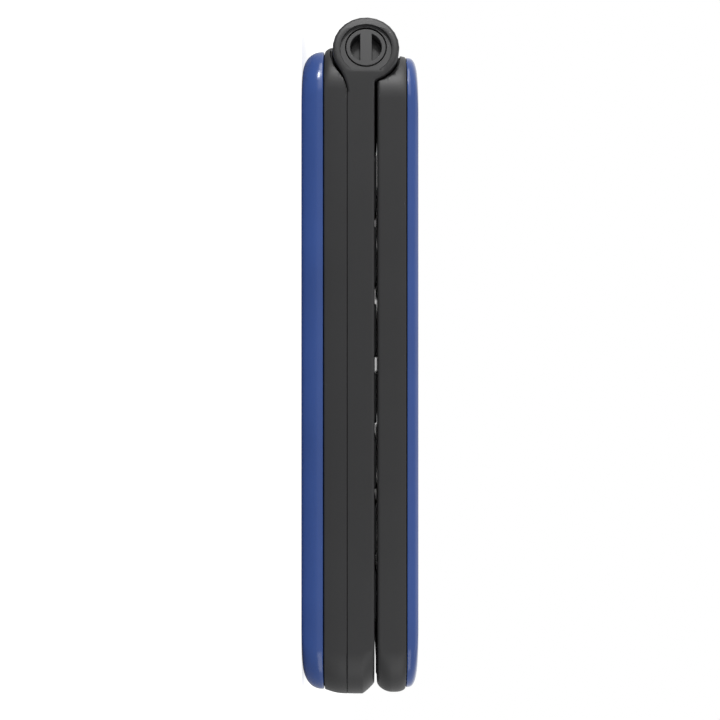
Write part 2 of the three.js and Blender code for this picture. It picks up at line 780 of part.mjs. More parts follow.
function volumeRocker() {
  const x1 = halfWidth + rockerProud;
  const body = plate(
    halfWidth - wall - seat, x1, rockerY - rockerLength / 2, rockerY + rockerLength / 2,
    rockerZ - rockerHeight / 2, rockerZ + rockerHeight / 2, 0.3,
  );
  const lug = block(
    halfWidth - wall - rockerLug, halfWidth - wall, rockerY - rockerLug, rockerY + rockerLug,
    rockerZ - rockerHeight / 2, rockerZ + rockerHeight / 2,
  );
  return join(body, lug);
}
add('volume_rocker', volumeRocker(), keyGrey, 0.45);

// Screw that points up, with a slotted head
function screw(x, y, headZ) {
  const head = discZ(x, y, screwHeadRadius, headZ, headZ + screwHeadHeight, 16);
  const shank = discZ(x, y, screwShankRadius, headZ + screwHeadHeight - weld, headZ + screwLength, 12);
  const [slotHalf, slotSide, slotDeep] = [screwHeadRadius * 0.6, screwHeadHeight / 4, screwHeadHeight / 2];
  const slot = block(x - slotHalf, x + slotHalf, y - slotSide, y + slotSide, headZ - 1, headZ + slotDeep);
  return cut(join(head, shank), slot);
}
add('base_screw_left', screw(-screwX, baseScrewY, baseScrewSeat - screwHeadHeight), steel, 0.35, 1);
add('base_screw_right', screw(screwX, baseScrewY, baseScrewSeat - screwHeadHeight), steel, 0.35, 1);

// Hinge
function hingeCap(side) {
  const disc = leaningBar(side, capRadius, -knuckleWidth, -counterboreDepth + capProud, capRise);
  const pocketDisc = leaningBar(side, capPocketRadius, -capPocket - counterboreDepth, clearOfFace, capRise);
  const bar = block(
    -phoneWidth, phoneWidth, axisY - knuckleRadius, axisY + knuckleRadius,
    axisZ - capBar / 2, axisZ + capBar / 2,
  );
  const [x0, x1] = side > 0 ? [knuckleInner + capSeat, phoneWidth] : [-phoneWidth, -knuckleInner - capSeat];
  return cut(disc, cut(pocketDisc, bar)).intersect(barX(capRadius, x0, x1, roundSides, capRise));
}
add('hinge_cap_left', hingeCap(-1), grey, 0.5);
add('hinge_cap_right', hingeCap(1), grey, 0.5);

const cartridgeEnd = barrelHalf - fit;
const cartridgeStart = cartridgeEnd - cartridgeLength;
const cartridgeInner = cartridgeRadius - cartridgeWall;
function hingeCartridge() {
  const can = barX(cartridgeRadius, cartridgeStart, cartridgeEnd);
  const bore = barX(cartridgeInner, cartridgeStart + cartridgeFloor, cartridgeEnd + 1);
  return cut(can, bore);
}
add('hinge_cartridge', hingeCartridge(), steel, 0.3, 1);

function hingeShaft() {
  const headStart = knuckleInner + weld;
  const head = barX(knuckleBore - seat, headStart, headStart + shaftHead);
  const collar = barX(cartridgeInner - slideGap, cartridgeEnd - collarLength, headStart + weld);
  const pinStart = cartridgeStart + cartridgeFloor + seat;
  const pin = barX(shaftRadius, pinStart, cartridgeEnd - collarLength + weld, 20);
  return join(head, collar, pin);
}
add('hinge_shaft', hingeShaft(), steel, 0.3, 1);

const followerEnd = cartridgeEnd - collarLength - seat;
const followerStart = followerEnd - followerLength;
add('hinge_follower', cut(
  barX(cartridgeInner - slideGap, followerStart, followerEnd),
  barX(shaftRadius + slideGap, followerStart - 1, followerEnd + 1, 20),
), steel, 0.3, 1);

// Helical spring as one unbroken tube about the hinge axis
class Helix extends THREE.Curve {
  constructor(x0, x1, radius, turns) {
    super();
    Object.assign(this, { x0, x1, radius, turns });
  }

  getPoint(t, target = new THREE.Vector3()) {
    const angle = t * this.turns * 2 * Math.PI;
    const x = this.x0 + t * (this.x1 - this.x0);
    return target.set(x, axisY + this.radius * Math.cos(angle), axisZ + this.radius * Math.sin(angle));
  }
}

function hingeSpring() {
  const x0 = cartridgeStart + cartridgeFloor + seat + springWire / 2;
  const x1 = followerStart - seat - springWire / 2;
  const radius = (cartridgeInner + shaftRadius) / 2;
  const section = new THREE.Shape();
  for (let i = 0; i < 5; i += 1) {
    const angle = i / 5 * 2 * Math.PI;
    const point = [springWire / 2 * Math.cos(angle), springWire / 2 * Math.sin(angle)];
    if (i === 0) section.moveTo(...point);
    else section.lineTo(...point);
  }
  const path = new Helix(x0, x1, radius, springTurns);
  const steps = springTurns * springSteps;
  return solidOf(new THREE.ExtrudeGeometry(section, { steps, extrudePath: path, bevelEnabled: false }));
}
add('hinge_spring', hingeSpring(), steel, 0.3, 1);

const bushEnd = -knuckleInner - capSeat + seat;
add('hinge_bush', cut(
  barX(bushRadius, bushEnd, bushEnd + bushLength),
  barX(bushBore, bushEnd - 1, bushEnd + bushLength + 1),
  block(
    bushEnd - 1, flexX + flexWidth + fit, axisY - knuckleRadius, axisY,
    flexRunTop - flexRunHeight, flexRunTop,
  ),
), 0xe6e6e2, 0.4);

function flexCable() {
  const x1 = -barrelHalf + flexSlotIn;
  const lidRunZ = lidFace + lidPlateThickness + seat;
  const baseRunZ = flexRunTop - flexRunHeight / 2;
  const baseRunStart = axisY - troughRadius - wall - flexTail;
  const lidRunStart = axisY - barrelRadius - wall - flexTail;
  const inAxis = [axisY - flexThickness / 2, axisY + flexThickness / 2];
  return join(
    block(x1 - flexWidth, x1, lidRunStart, inAxis[1], lidRunZ, lidRunZ + flexThickness),
    block(x1 - flexWidth, x1, ...inAxis, axisZ - flexWidth / 2, lidRunZ + flexThickness),
    block(flexX, x1, ...inAxis, axisZ - flexWidth / 2, axisZ + flexWidth / 2),
    block(flexX, flexX + flexWidth, baseRunStart, inAxis[1], baseRunZ, baseRunZ + flexThickness),
  );
}
add('flex_cable', flexCable(), 0xb8742a, 0.5);

// Lid
const lidPlateBack = lidFace + lidPlateThickness;
const lensHalf = halfWidth - lensMargin;
const lensY0 = keypadEnd + lensFromKeypadEnd;
const lensY1 = axisY - lensBelowAxis;
const displayY1 = axisY - displayBelowAxis;
const lensTop = lidFace + seat + lensThickness;
const displayTop = lidPlateBack + displayThickness;
const lidBoardBottom = displayTop + seat;
const lidBoardTop = lidBoardBottom + lidBoardThickness;
const coverSkinBottom = phoneTop - coverSkin;
const outerLensY = axisY - outerLensBelowAxis;
const outerLensBottom = phoneTop - seat - lensThickness;
const cameraY = axisY - cameraBelowAxis;
const earY = keypadEnd + earpieceFromKeypadEnd;
const lidScrewY = keypadEnd + screwInset;
const bumperTop = lidFace + bumperSeat;
const lidScrewHead = bumperTop + seat;
const lidScrewSeat = lidScrewHead + screwHeadHeight;
const lidPilotTop = lidScrewHead + screwLength + seat;
const towerTop = lidScrewSeat + towerFloor;
const towerRadius = bumperRadius + towerWall;

function lidInnerHousing() {
  const face = faceEdge(noseDepth, (below) => (
    noseRadius - Math.sqrt(noseRadius ** 2 - (noseDepth - below) ** 2)));
  const levels = face.map(([above, side, drawn]) => level(lid, lidFace + above, side, drawn, 0)).reverse();
  for (let i = 0; i <= 4; i += 1) {
    const angle = i / 4 * Math.PI / 2;
    const rise = lidShoulder * Math.sin(angle);
    const drawn = 1 - Math.cos(angle);
    const z = lidHousingTop - lidShoulder + rise;
    levels.push(level(lid, z, coverStepIn * drawn, lidKeypadStepIn * drawn, lidHingeStepIn * drawn));
  }
  const inside = halfWidth - wall;
  const insideEnd = axisY - barrelRadius - wall;
  const hollow = plate(
    -inside, inside, keypadEnd + endWall, insideEnd, lidPlateBack, lidHousingTop + 1, keypadCorner - wall,
  );
  const notches = [-1, 1].map((side) => {
    const [x0, x1] = side > 0 ? [barrelHalf, phoneWidth] : [-phoneWidth, -barrelHalf];
    return barX(notchRadius, x0, x1, hingeSides);
  });
  const barrel = barX(barrelRadius, -barrelHalf, barrelHalf, hingeSides);
  const cartridgeBore = barX(cartridgeRadius + pressGap, cartridgeStart - seat, barrelHalf + 1);
  const flexBore = barX(bushRadius + fit, -barrelHalf - 1, cartridgeStart - seat - wall);
  const slotX = -barrelHalf + flexSlotIn;
  const flexSlot = block(
    slotX - flexWidth - fit, slotX + fit, insideEnd - 1, axisY + 1,
    lidPlateBack, lidPlateBack + flexThickness + fit,
  );
  const recess = plate(
    -lensHalf - lensGap, lensHalf + lensGap, lensY0 - lensGap, lensY1 + lensGap,
    lidFace - 1, lensTop, lensCorner,
  );
  const window = plate(
    -lensHalf + lensLedge, lensHalf - lensLedge, lensY0 + lensLedge, displayY1 + displayInset - lensLedge,
    lidFace, lidPlateBack + 1, 1,
  );
  const earSlots = [-1, 0, 1].map((i) => {
    const x = i * earSlotPitch;
    const [w, h] = [earSlotLength / 2, earSlotWidth / 2];
    return plate(x - w, x + w, earY - h, earY + h, lidFace - 1, lidPlateBack + 1, h - 0.05);
  });
  const bumperPits = [-1, 1].map((side) => (
    discZ(side * screwX, lidScrewY, bumperRadius + seat, lidFace - 1, bumperTop)));
  const towers = [-1, 1].map((side) => (
    discZ(side * screwX, lidScrewY, towerRadius, lidPlateBack - weld, towerTop)));
  const screwHoles = [-1, 1].flatMap((side) => [
    discZ(side * screwX, lidScrewY, screwHeadRadius + fit, lidFace, lidScrewSeat, 16),
    discZ(side * screwX, lidScrewY, screwShankRadius + weld, lidFace, lidHousingTop, 16),
  ]);
  const shell = cut(cut(stack(levels), hollow), ...notches);
  const body = join(shell, barrel, ...towers);
  const seats = [...earSlots, ...bumperPits, ...screwHoles];
  return cut(body, cartridgeBore, flexBore, flexSlot, recess, window, ...seats);
}

function lidOuterCover() {
  const body = rim(lidRimWidth, lidRimDepth, lidRimFullness)
    .map(([inset, rise]) => rimLevel(cover, phoneTop - rise, inset))
    .reverse();
  body.unshift(level(cover, lidCoverBottom, coverStepIn));
  const hollowInset = wall + coverLedge;
  const hollow = stack([
    level(cover, lidCoverBottom - 1, hollowInset), level(cover, coverSkinBottom, hollowInset),
  ]);
  const halfX = outerLensWidth / 2;
  const halfY = outerLensLength / 2;
  const lensPit = plate(
    -halfX - lensGap, halfX + lensGap, outerLensY - halfY - lensGap, outerLensY + halfY + lensGap,
    outerLensBottom, phoneTop + 1, lensCorner,
  );
  const lensWindow = plate(
    -halfX + lensLedge, halfX - lensLedge, outerLensY - halfY + lensLedge, outerLensY + halfY - lensLedge,
    coverSkinBottom - 1, phoneTop + 1, 1,
  );
  const cameraPit = discZ(0, cameraY, cameraWindowRadius + lensGap, outerLensBottom, phoneTop + 1);
  const cameraHole = discZ(0, cameraY, cameraBarrel + fit, coverSkinBottom - 1, phoneTop + 1);
  const bosses = [-1, 1].map((side) => (
    discZ(side * screwX, lidScrewY, bossRadius, towerTop + seat, coverSkinBottom + weld)));
  const pilots = [-1, 1].map((side) => (
    discZ(side * screwX, lidScrewY, screwShankRadius + pressGap, lidPlateBack, lidPilotTop, 16)));
  const shell = cut(stack(body), hollow, lensPit, lensWindow, cameraPit, cameraHole);
  return cut(join(shell, ...bosses), ...pilots);
}

add('lid_inner_housing', lidInnerHousing(), grey, 0.5);
add('lid_outer_cover', lidOuterCover(), blue, 0.35);
add('main_display_lens', plate(
  -lensHalf, lensHalf, lensY0, lensY1, lidFace + seat, lensTop, lensCorner,
), lensBlack, 0.08);
add('main_display', plate(
  -lensHalf + displayInset, lensHalf - displayInset, lensY0 + displayInset, displayY1,
  lidPlateBack, displayTop, 0.5,
), 0x15171a, 0.3);

const lidBoardEnd = cameraY - cameraSize / 2 - fit;
const lidBoardStart = lensY0 + lidBoardInset;
const magnetX = halfWidth - wall - fit - magnetWidth;
const magnetY = lensY0 + magnetFromLensEnd;
add('lid_board', plate(
  -lensHalf + lidBoardInset, lensHalf - lidBoardInset, lidBoardStart, lidBoardEnd,
  lidBoardBottom, lidBoardTop, 1,
), boardGreen, 0.5);
add('outer_display', plate(
  -outerLensWidth / 2 + displayInset, outerLensWidth / 2 - displayInset,
  outerLensY - outerLensLength / 2 + displayInset, outerLensY + outerLensLength / 2 - displayInset,
  lidBoardTop, lidBoardTop + outerDisplayThickness, 0.5,
), 0x15171a, 0.3);
add('outer_display_lens', plate(
  -outerLensWidth / 2, outerLensWidth / 2,
  outerLensY - outerLensLength / 2, outerLensY + outerLensLength / 2,
  outerLensBottom, phoneTop - seat, lensCorner,
), lensBlack, 0.08);
add('camera_module', join(
  plate(
    -cameraSize / 2, cameraSize / 2, cameraY - cameraSize / 2, cameraY + cameraSize / 2,
    lidPlateBack, lidHousingTop - weld,
  ),
  discZ(0, cameraY, cameraBarrel, lidHousingTop - 2 * weld, coverSkinBottom + seat),
), 0x1a1a1c, 0.4);
add('camera_window', discZ(
  0, cameraY, cameraWindowRadius, outerLensBottom, phoneTop - seat,
), lensBlack, 0.08);

add('earpiece', plate(
  -earpieceWidth / 2, earpieceWidth / 2, earY - earpieceLength / 2, earY + earpieceLength / 2,
  lidPlateBack, lidPlateBack + earpieceDepth, 1,
), steel, 0.3, 1);
add('lid_magnet', plate(
  magnetX, magnetX + magnetWidth, magnetY, magnetY + magnetLength, lidPlateBack, lidPlateBack + magnetWidth,
), steel, 0.3, 1);

[['left', -1], ['right', 1]].forEach(([name, side]) => {
  add(`lid_screw_${name}`, screw(side * screwX, lidScrewY, lidScrewHead), steel, 0.35, 1);
  const bumper = discZ(side * screwX, lidScrewY, bumperRadius, lidFace - bumperProud, bumperTop);
  add(`bumper_${name}`, bumper, 0x141414, 0.9);
});

const phone = new THREE.Group();
parts.forEach(({ name, solid, color, roughness, metalness }) => {
  const material = new THREE.MeshStandardMaterial({ color, roughness, metalness });
  const mesh = new THREE.Mesh(geometryOf(solid), material);
  mesh.name = name;
  phone.add(mesh);
});

export default phone;
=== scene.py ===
import math

import bmesh
import bpy
from mathutils import Matrix, Vector


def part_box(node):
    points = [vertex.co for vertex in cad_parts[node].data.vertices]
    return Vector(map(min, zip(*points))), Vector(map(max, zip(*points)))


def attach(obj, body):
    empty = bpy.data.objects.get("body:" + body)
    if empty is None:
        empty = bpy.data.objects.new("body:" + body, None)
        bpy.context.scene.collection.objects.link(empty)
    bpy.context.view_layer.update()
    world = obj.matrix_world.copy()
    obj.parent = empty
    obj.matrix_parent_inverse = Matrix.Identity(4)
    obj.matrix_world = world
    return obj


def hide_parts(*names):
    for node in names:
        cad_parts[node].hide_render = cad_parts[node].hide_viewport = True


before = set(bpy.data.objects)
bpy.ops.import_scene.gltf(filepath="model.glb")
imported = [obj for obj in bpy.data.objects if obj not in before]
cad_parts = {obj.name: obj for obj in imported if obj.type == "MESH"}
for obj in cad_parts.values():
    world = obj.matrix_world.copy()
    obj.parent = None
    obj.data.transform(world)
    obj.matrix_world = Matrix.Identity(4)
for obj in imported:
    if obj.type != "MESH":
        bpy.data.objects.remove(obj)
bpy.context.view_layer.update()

# The photograph shows the closed phone upright, square on from its left side and from quite near.
# The phone lies on its back in the row's frame, so the picture's up is +Y and its right is +Z.
mm = 0.001
near_side = -26.5
camera_distance = 185
picture_height = 111.2
picture_middle_y = -0.02
picture_middle_z = 9.11
camera_data = bpy.data.cameras.new("photo_camera")
camera_data.sensor_width = 36
camera_data.lens = camera_data.sensor_width * camera_distance / picture_height
camera_data.clip_start = 0.01
camera = bpy.data.objects.new("photo_camera", camera_data)
bpy.context.scene.collection.objects.link(camera)
camera.matrix_world = Matrix((
    (0, 0, -1, (near_side - camera_distance) * mm),
    (0, 1, 0, picture_middle_y * mm),
    (1, 0, 0, picture_middle_z * mm),
    (0, 0, 0, 1),
))
bpy.context.scene.camera = camera
bpy.context.scene.view_settings.view_transform = "Standard"


# A matt white sweep under a soft tent of light, as for a catalogue picture, with four soft boxes. A low,
# narrow lamp beyond the hinge end makes the bright spot on the rear cover's rounded corner.
def linear(code):
    """An sRGB hex colour as linear red, green, blue and alpha."""
    channels = [int(code[i:i + 2], 16) / 255 for i in (1, 3, 5)]
    return (*[c / 12.92 if c <= 0.04045 else ((c + 0.055) / 1.055) ** 2.4 for c in channels], 1)


def add_node(tree, kind, settings, inputs):
    """A node with its settings, and with a value or a link on each named input."""
    made = tree.nodes.new(kind)
    for name, value in settings.items():
        setattr(made, name, value)
    for name, value in inputs.items():
        if isinstance(value, bpy.types.NodeSocket):
            tree.links.new(value, made.inputs[name])
        else:
            made.inputs[name].default_value = value
    return made


def seen_directly(tree):
    """1 for rays from the camera, a mirror or a window, 0 for the soft light itself."""
    rays = add_node(tree, "ShaderNodeLightPath", {}, {})
    either = add_node(tree, "ShaderNodeMath", {"operation": "MAXIMUM"}, {
        0: rays.outputs["Is Camera Ray"], 1: rays.outputs["Is Glossy Ray"]})
    return add_node(tree, "ShaderNodeMath", {"operation": "MAXIMUM"}, {
        0: either.outputs[0], 1: rays.outputs["Is Transmission Ray"]}).outputs[0]


tent_light = 0.55
world = bpy.data.worlds.new("light_tent")
bpy.context.scene.world = world
world.use_nodes = True
tent = world.node_tree
tent_strength = add_node(tent, "ShaderNodeMapRange", {}, {
    "Value": seen_directly(tent), "To Min": tent_light, "To Max": 1})
tent.nodes["Background"].inputs["Color"].default_value = linear("#ffffff")
tent.links.new(tent_strength.outputs[0], tent.nodes["Background"].inputs["Strength"])

floor_radius = 1500
floor_drop = 0.02
floor_lift = 0.7
floor_mesh = bpy.data.meshes.new("white_sweep")
bm = bmesh.new()
bmesh.ops.create_circle(bm, cap_ends=True, segments=96, radius=floor_radius * mm)
bmesh.ops.translate(bm, vec=(0, 0, -floor_drop * mm), verts=bm.verts)
bm.to_mesh(floor_mesh)
bm.free()
floor = bpy.data.objects.new("white_sweep", floor_mesh)
bpy.context.scene.collection.objects.link(floor)
# Matt painted board: no sheen, and white to the camera but for the phone's own soft shadow
sweep = bpy.data.materials.new("matt_white_sweep")
sweep.use_nodes = True
sweep_tree = sweep.node_tree
principled = sweep_tree.nodes["Principled BSDF"]
principled.inputs["Base Color"].default_value = linear("#e6e6e6")
principled.inputs["Roughness"].default_value = 0.9
principled.inputs["Specular IOR Level"].default_value = 0
principled.inputs["Emission Color"].default_value = linear("#ffffff")
rays = add_node(sweep_tree, "ShaderNodeLightPath", {}, {})
lift = add_node(sweep_tree, "ShaderNodeMapRange", {}, {
    "Value": rays.outputs["Is Camera Ray"], "To Max": floor_lift})
sweep_tree.links.new(lift.outputs[0], principled.inputs["Emission Strength"])
floor_mesh.materials.append(sweep)

for name, place, width, height, watts in (
    ("front_softbox", (-315, 325, 60), 290, 110, 0.2),
    ("hinge_softbox", (-114, 373, 34), 200, 60, 0.24),
    ("corner_spot", (-200, 317, 5), 70, 8, 0.42),
    ("top_softbox", (-120, -60, 900), 800, 800, 1.8),
    ("end_softbox", (-300, -330, 60), 350, 120, 0.32),
):
    lamp_data = bpy.data.lights.new(name, "AREA")
    lamp_data.shape = "RECTANGLE"
    lamp_data.size = width * mm
    lamp_data.size_y = height * mm
    lamp_data.energy = watts
    lamp = bpy.data.objects.new(name, lamp_data)
    bpy.context.scene.collection.objects.link(lamp)
    lamp.location = Vector(place) * mm
    lamp.rotation_euler = (-lamp.location).to_track_quat("-Z", "Y").to_euler()


# Rear cover: the battery door, moulded in deep blue ABS with a satin gloss, snapped on over the
# battery. Its sides roll over to the flat back like a pebble, fuller than a round edge.
tolerance = 1e-4


def slab(x0, x1, y0, y1, z0, z1, low=0.0, high=None, segments=14):
    """A flat plate with rounded corners: low is the radius at the keypad end, high at the hinge end."""
    bm = bmesh.new()
    bmesh.ops.create_cube(bm, size=1)
    bmesh.ops.scale(bm, vec=(x1 - x0, y1 - y0, z1 - z0), verts=bm.verts)
    bmesh.ops.translate(bm, vec=((x0 + x1) / 2, (y0 + y1) / 2, (z0 + z1) / 2), verts=bm.verts)
    for end, radius in ((y0, low), (y1, low if high is None else high)):
        upright = [e for e in bm.edges if abs(e.verts[0].co.z - e.verts[1].co.z) > tolerance
                   and abs(e.verts[0].co.y - end) < tolerance]
        if radius:
            bmesh.ops.bevel(bm, geom=upright, offset=radius, segments=segments, profile=0.5,
                            affect="EDGES", material=-1)
    bm.normal_update()
    return bm


def facing(bm, direction):
    """The flat face of a plate that looks up (1) or down (-1)."""
    return max(bm.faces, key=lambda f: (round(f.normal.z * direction, 3), f.calc_area()))


def grow(bm, face, levels):
    """Carries a flat face outwards through levels of rise, side, keypad end and hinge end, in mm."""
    last = (0, 0, 0, 0)
    centre_y = face.calc_center_median().y
    for level in levels:
        rise, side, low, high = (now - before for now, before in zip(level, last))
        if side > tolerance:
            bmesh.ops.inset_region(bm, faces=[face], thickness=side, depth=rise, use_even_offset=True,
                                   use_boundary=True)
        else:
            way = face.normal.copy()
            face = bmesh.ops.extrude_discrete_faces(bm, faces=[face])["faces"][0]
            bmesh.ops.translate(bm, vec=way * rise, verts=face.verts)
        for end, shift in ((-1, low - side), (1, side - high)):
            moved = [v for v in face.verts if (v.co.y - centre_y) * end > 0]
            bmesh.ops.translate(bm, vec=(0, shift, 0), verts=moved)
        bm.normal_update()
        last = level
    return face


rim_at_sides = 0.3
rim_at_hinge = 0.85


def pebble(width, depth, fullness, steps=16):
    """Levels of a rim from the side wall to the flat face, tight at the sides and wide at the ends."""
    levels = []
    for i in range(1, steps + 1):
        turn = i / steps * math.pi / 2
        rise = depth * math.sin(turn) ** (2 / fullness)
        drawn = width * (1 - max(math.cos(turn), 0) ** (2 / fullness))
        levels.append((rise, rim_at_sides * drawn, drawn, rim_at_hinge * drawn))
    return levels


weld = 0.002


def together(*parts):
    """Several meshes as one, for one cut."""
    whole = bmesh.new()
    for part in parts:
        mesh = bpy.data.meshes.new("part")
        part.to_mesh(mesh)
        part.free()
        whole.from_mesh(mesh)
        bpy.data.meshes.remove(mesh)
    return whole


def carve(bm, tool, operation="DIFFERENCE"):
    """Cuts, joins or intersects the first mesh with the second, and uses the second up."""
    pair = []
    for source in (bm, tool):
        bmesh.ops.recalc_face_normals(source, faces=source.faces)
        mesh = bpy.data.meshes.new("carve")
        source.to_mesh(mesh)
        pair.append(bpy.data.objects.new("carve", mesh))
        bpy.context.scene.collection.objects.link(pair[-1])
    tool.free()
    boolean = pair[0].modifiers.new("carve", "BOOLEAN")
    boolean.operation = operation
    boolean.solver = "EXACT"
    boolean.object = pair[1]
    ready = pair[0].evaluated_get(bpy.context.evaluated_depsgraph_get())
    result = bpy.data.meshes.new_from_object(ready)
    bm.clear()
    bm.from_mesh(result)
    bpy.data.meshes.remove(result)
    for thing in pair:
        mesh = thing.data
        bpy.data.objects.remove(thing)
        bpy.data.meshes.remove(mesh)
    bmesh.ops.remove_doubles(bm, verts=bm.verts, dist=weld)
    bmesh.ops.dissolve_degenerate(bm, dist=weld / 2, edges=bm.edges)
    bm.normal_update()


def make(name, bm, material, edge=0.0, angle=35):
    """A finished object from a mesh in mm, with its sharp edges broken by edge mm."""
    bmesh.ops.recalc_face_normals(bm, faces=bm.faces)
    weight = bm.edges.layers.float.new("bevel_weight_edge")
    sliver = 0.01
    for e in bm.edges:
        sharp = len(e.link_faces) == 2 and e.calc_face_angle() > math.radians(angle)
        e[weight] = float(sharp and min(f.calc_area() for f in e.link_faces) > sliver)
    bmesh.ops.scale(bm, vec=(mm, mm, mm), verts=bm.verts)
    mesh = bpy.data.meshes.new(name)
    bm.to_mesh(mesh)
    bm.free()
    mesh.shade_smooth()
    mesh.set_sharp_from_angle(angle=math.radians(angle))
    mesh.materials.append(material)
    piece = bpy.data.objects.new(name, mesh)
    bpy.context.scene.collection.objects.link(piece)
    if edge:
        broken = piece.modifiers.new("broken_edges", "BEVEL")
        broken.limit_method = "WEIGHT"
        broken.width = edge * mm
        broken.segments = 2
        broken.use_clamp_overlap = False
        flat = piece.modifiers.new("flat_faces", "WEIGHTED_NORMAL")
        flat.keep_sharp = False
    return piece


flow_width = 11
polish_range = 0.04


def moulded(name, colour, roughness, specular, grain, depth, flow=0.06):
    """Injection-moulded plastic: a tool texture of that grain and depth in mm, and faint flow in tone."""
    material = bpy.data.materials.new(name)
    material.use_nodes = True
    tree = material.node_tree
    shader = tree.nodes["Principled BSDF"]
    shader.inputs["Specular IOR Level"].default_value = specular
    place = add_node(tree, "ShaderNodeTexCoord", {}, {}).outputs["Object"]
    sparks = add_node(tree, "ShaderNodeTexNoise", {}, {
        "Vector": place, "Scale": 1 / (grain * mm), "Detail": 2})
    bump = add_node(tree, "ShaderNodeBump", {}, {
        "Height": sparks.outputs["Fac"], "Distance": depth * mm, "Strength": 1})
    tree.links.new(bump.outputs["Normal"], shader.inputs["Normal"])
    marks = add_node(tree, "ShaderNodeTexNoise", {}, {
        "Vector": place, "Scale": 1 / (flow_width * mm), "Detail": 3})
    tone = add_node(tree, "ShaderNodeValToRGB", {}, {"Fac": marks.outputs["Fac"]})
    red, green, blue, _ = linear(colour)
    for element, place_on_ramp, share in zip(tone.color_ramp.elements, (0.3, 0.7), (1 - flow, 1 + flow)):
        element.position = place_on_ramp
        element.color = (red * share, green * share, blue * share, 1)
    tree.links.new(tone.outputs["Color"], shader.inputs["Base Color"])
    polish = add_node(tree, "ShaderNodeMapRange", {}, {
        "Value": marks.outputs["Fac"],
        "To Min": roughness - polish_range, "To Max": roughness + polish_range})
    tree.links.new(polish.outputs[0], shader.inputs["Roughness"])
    return material


def span(node):
    """A CAD node's box in mm, as x0, x1, y0, y1, z0, z1."""
    low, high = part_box(node)
    return [value / mm for pair in zip(low, high) for value in pair]


def around(box, gap):
    """The sides and ends of a box, x0, x1, y0, y1, moved out by a gap."""
    return box[0] - gap, box[1] + gap, box[2] - gap, box[3] + gap


def middle(box):
    """The middle of a box, seen from above."""
    return (box[0] + box[1]) / 2, (box[2] + box[3]) / 2


# Satin ABS from a smooth tool, with a hint of orange peel 0.8 mm wide: a deep even blue with soft, unbroken
# highlights where the rim rolls over
blue_abs = moulded("deep_blue_satin_abs", "#304c8b", 0.18, 0.36, 0.8, 0.0012)
rear_rim = (4.4, 3.2, 2.2)
rear_corners = (8.1, 8.3)
rear_hollow_corners = (5.7, 4.9)
cover_skin = 1.15
cover_wall = 2.4
cover_box = span("rear_cover")
rear_seam = cover_box[5]
rear_cover = slab(*cover_box[:4], rear_rim[1], rear_seam, *rear_corners)
grow(rear_cover, facing(rear_cover, -1), pebble(*rear_rim))
# The side walls lean in a little towards the seam
lean_share = 0.006
lean_start = 1.6
lean_height = 1.8
lean_curve = 1.6
for v in rear_cover.verts:
    v.co.x *= 1 - lean_share * max(0, (v.co.z - lean_start) / lean_height) ** lean_curve
carve(rear_cover, slab(*around(cover_box, -cover_wall), cover_skin, rear_seam + 1, *rear_hollow_corners))
# Five slots in front of the loudspeaker
slot_half = 0.4
slot_reach = 3
slot_pitch = 1.8
grille_y = middle(span("loudspeaker"))[1]
slots = []
for i in range(-2, 3):
    x = i * slot_pitch
    slots.append(slab(x - slot_half, x + slot_half, grille_y - slot_reach, grille_y + slot_reach,
                      -1, cover_skin + 1, slot_half - 0.01, segments=4))
carve(rear_cover, together(*slots))
rear_cover = make("rear_cover_door", rear_cover, blue_abs, edge=0.12)
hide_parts("rear_cover")
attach(rear_cover, "base")


# Rear half of the keypad body: dark grey glass-filled polycarbonate with a fine sparked texture.
# Its ends draw in towards the rear cover, and the battery bay is sunk into its back.
def bar(radius, x0, x1, at=(0, 0, 0), lean=0.0):
    """A round bar across the phone from x0 to x1, which then leans about the upright through its place."""
    bm = bmesh.new()
    bmesh.ops.create_cone(bm, cap_ends=True, segments=96, radius1=radius, radius2=radius, depth=x1 - x0)
    bmesh.ops.rotate(bm, matrix=Matrix.Rotation(math.pi / 2, 3, "Y"), verts=bm.verts)
    bmesh.ops.translate(bm, vec=((x0 + x1) / 2, 0, 0), verts=bm.verts)
    bmesh.ops.rotate(bm, matrix=Matrix.Rotation(lean, 3, "Z"), verts=bm.verts)
    bmesh.ops.translate(bm, vec=at, verts=bm.verts)
    return bm


def side_view(x0, x1, start, path, steps=20):
    """A plate from x0 to x1. Its side view starts at (y, z) and goes by lines and turns about points."""
    bm = bmesh.new()
    tip = first = bmesh.ops.create_vert(bm, co=(x0, *start))["vert"][0]
    for point, turn in path:
        if turn:
            spun = bmesh.ops.spin(bm, geom=[tip], cent=(x0, *point), axis=(1, 0, 0), angle=turn, steps=steps)
            tip = spun["geom_last"][0]
        else:
            tip = bmesh.ops.extrude_vert_indiv(bm, verts=[tip])["verts"][0]
            tip.co = (x0, *point)
    bmesh.ops.contextual_create(bm, geom=[tip, first])
    outline = bmesh.ops.contextual_create(bm, geom=bm.edges[:])["faces"]
    drawn = bmesh.ops.extrude_face_region(bm, geom=outline, use_keep_orig=True)["geom"]
    moved = [item for item in drawn if isinstance(item, bmesh.types.BMVert)]
    bmesh.ops.translate(bm, vec=(x1 - x0, 0, 0), verts=moved)
    bmesh.ops.recalc_face_normals(bm, faces=bm.faces)
    return bm


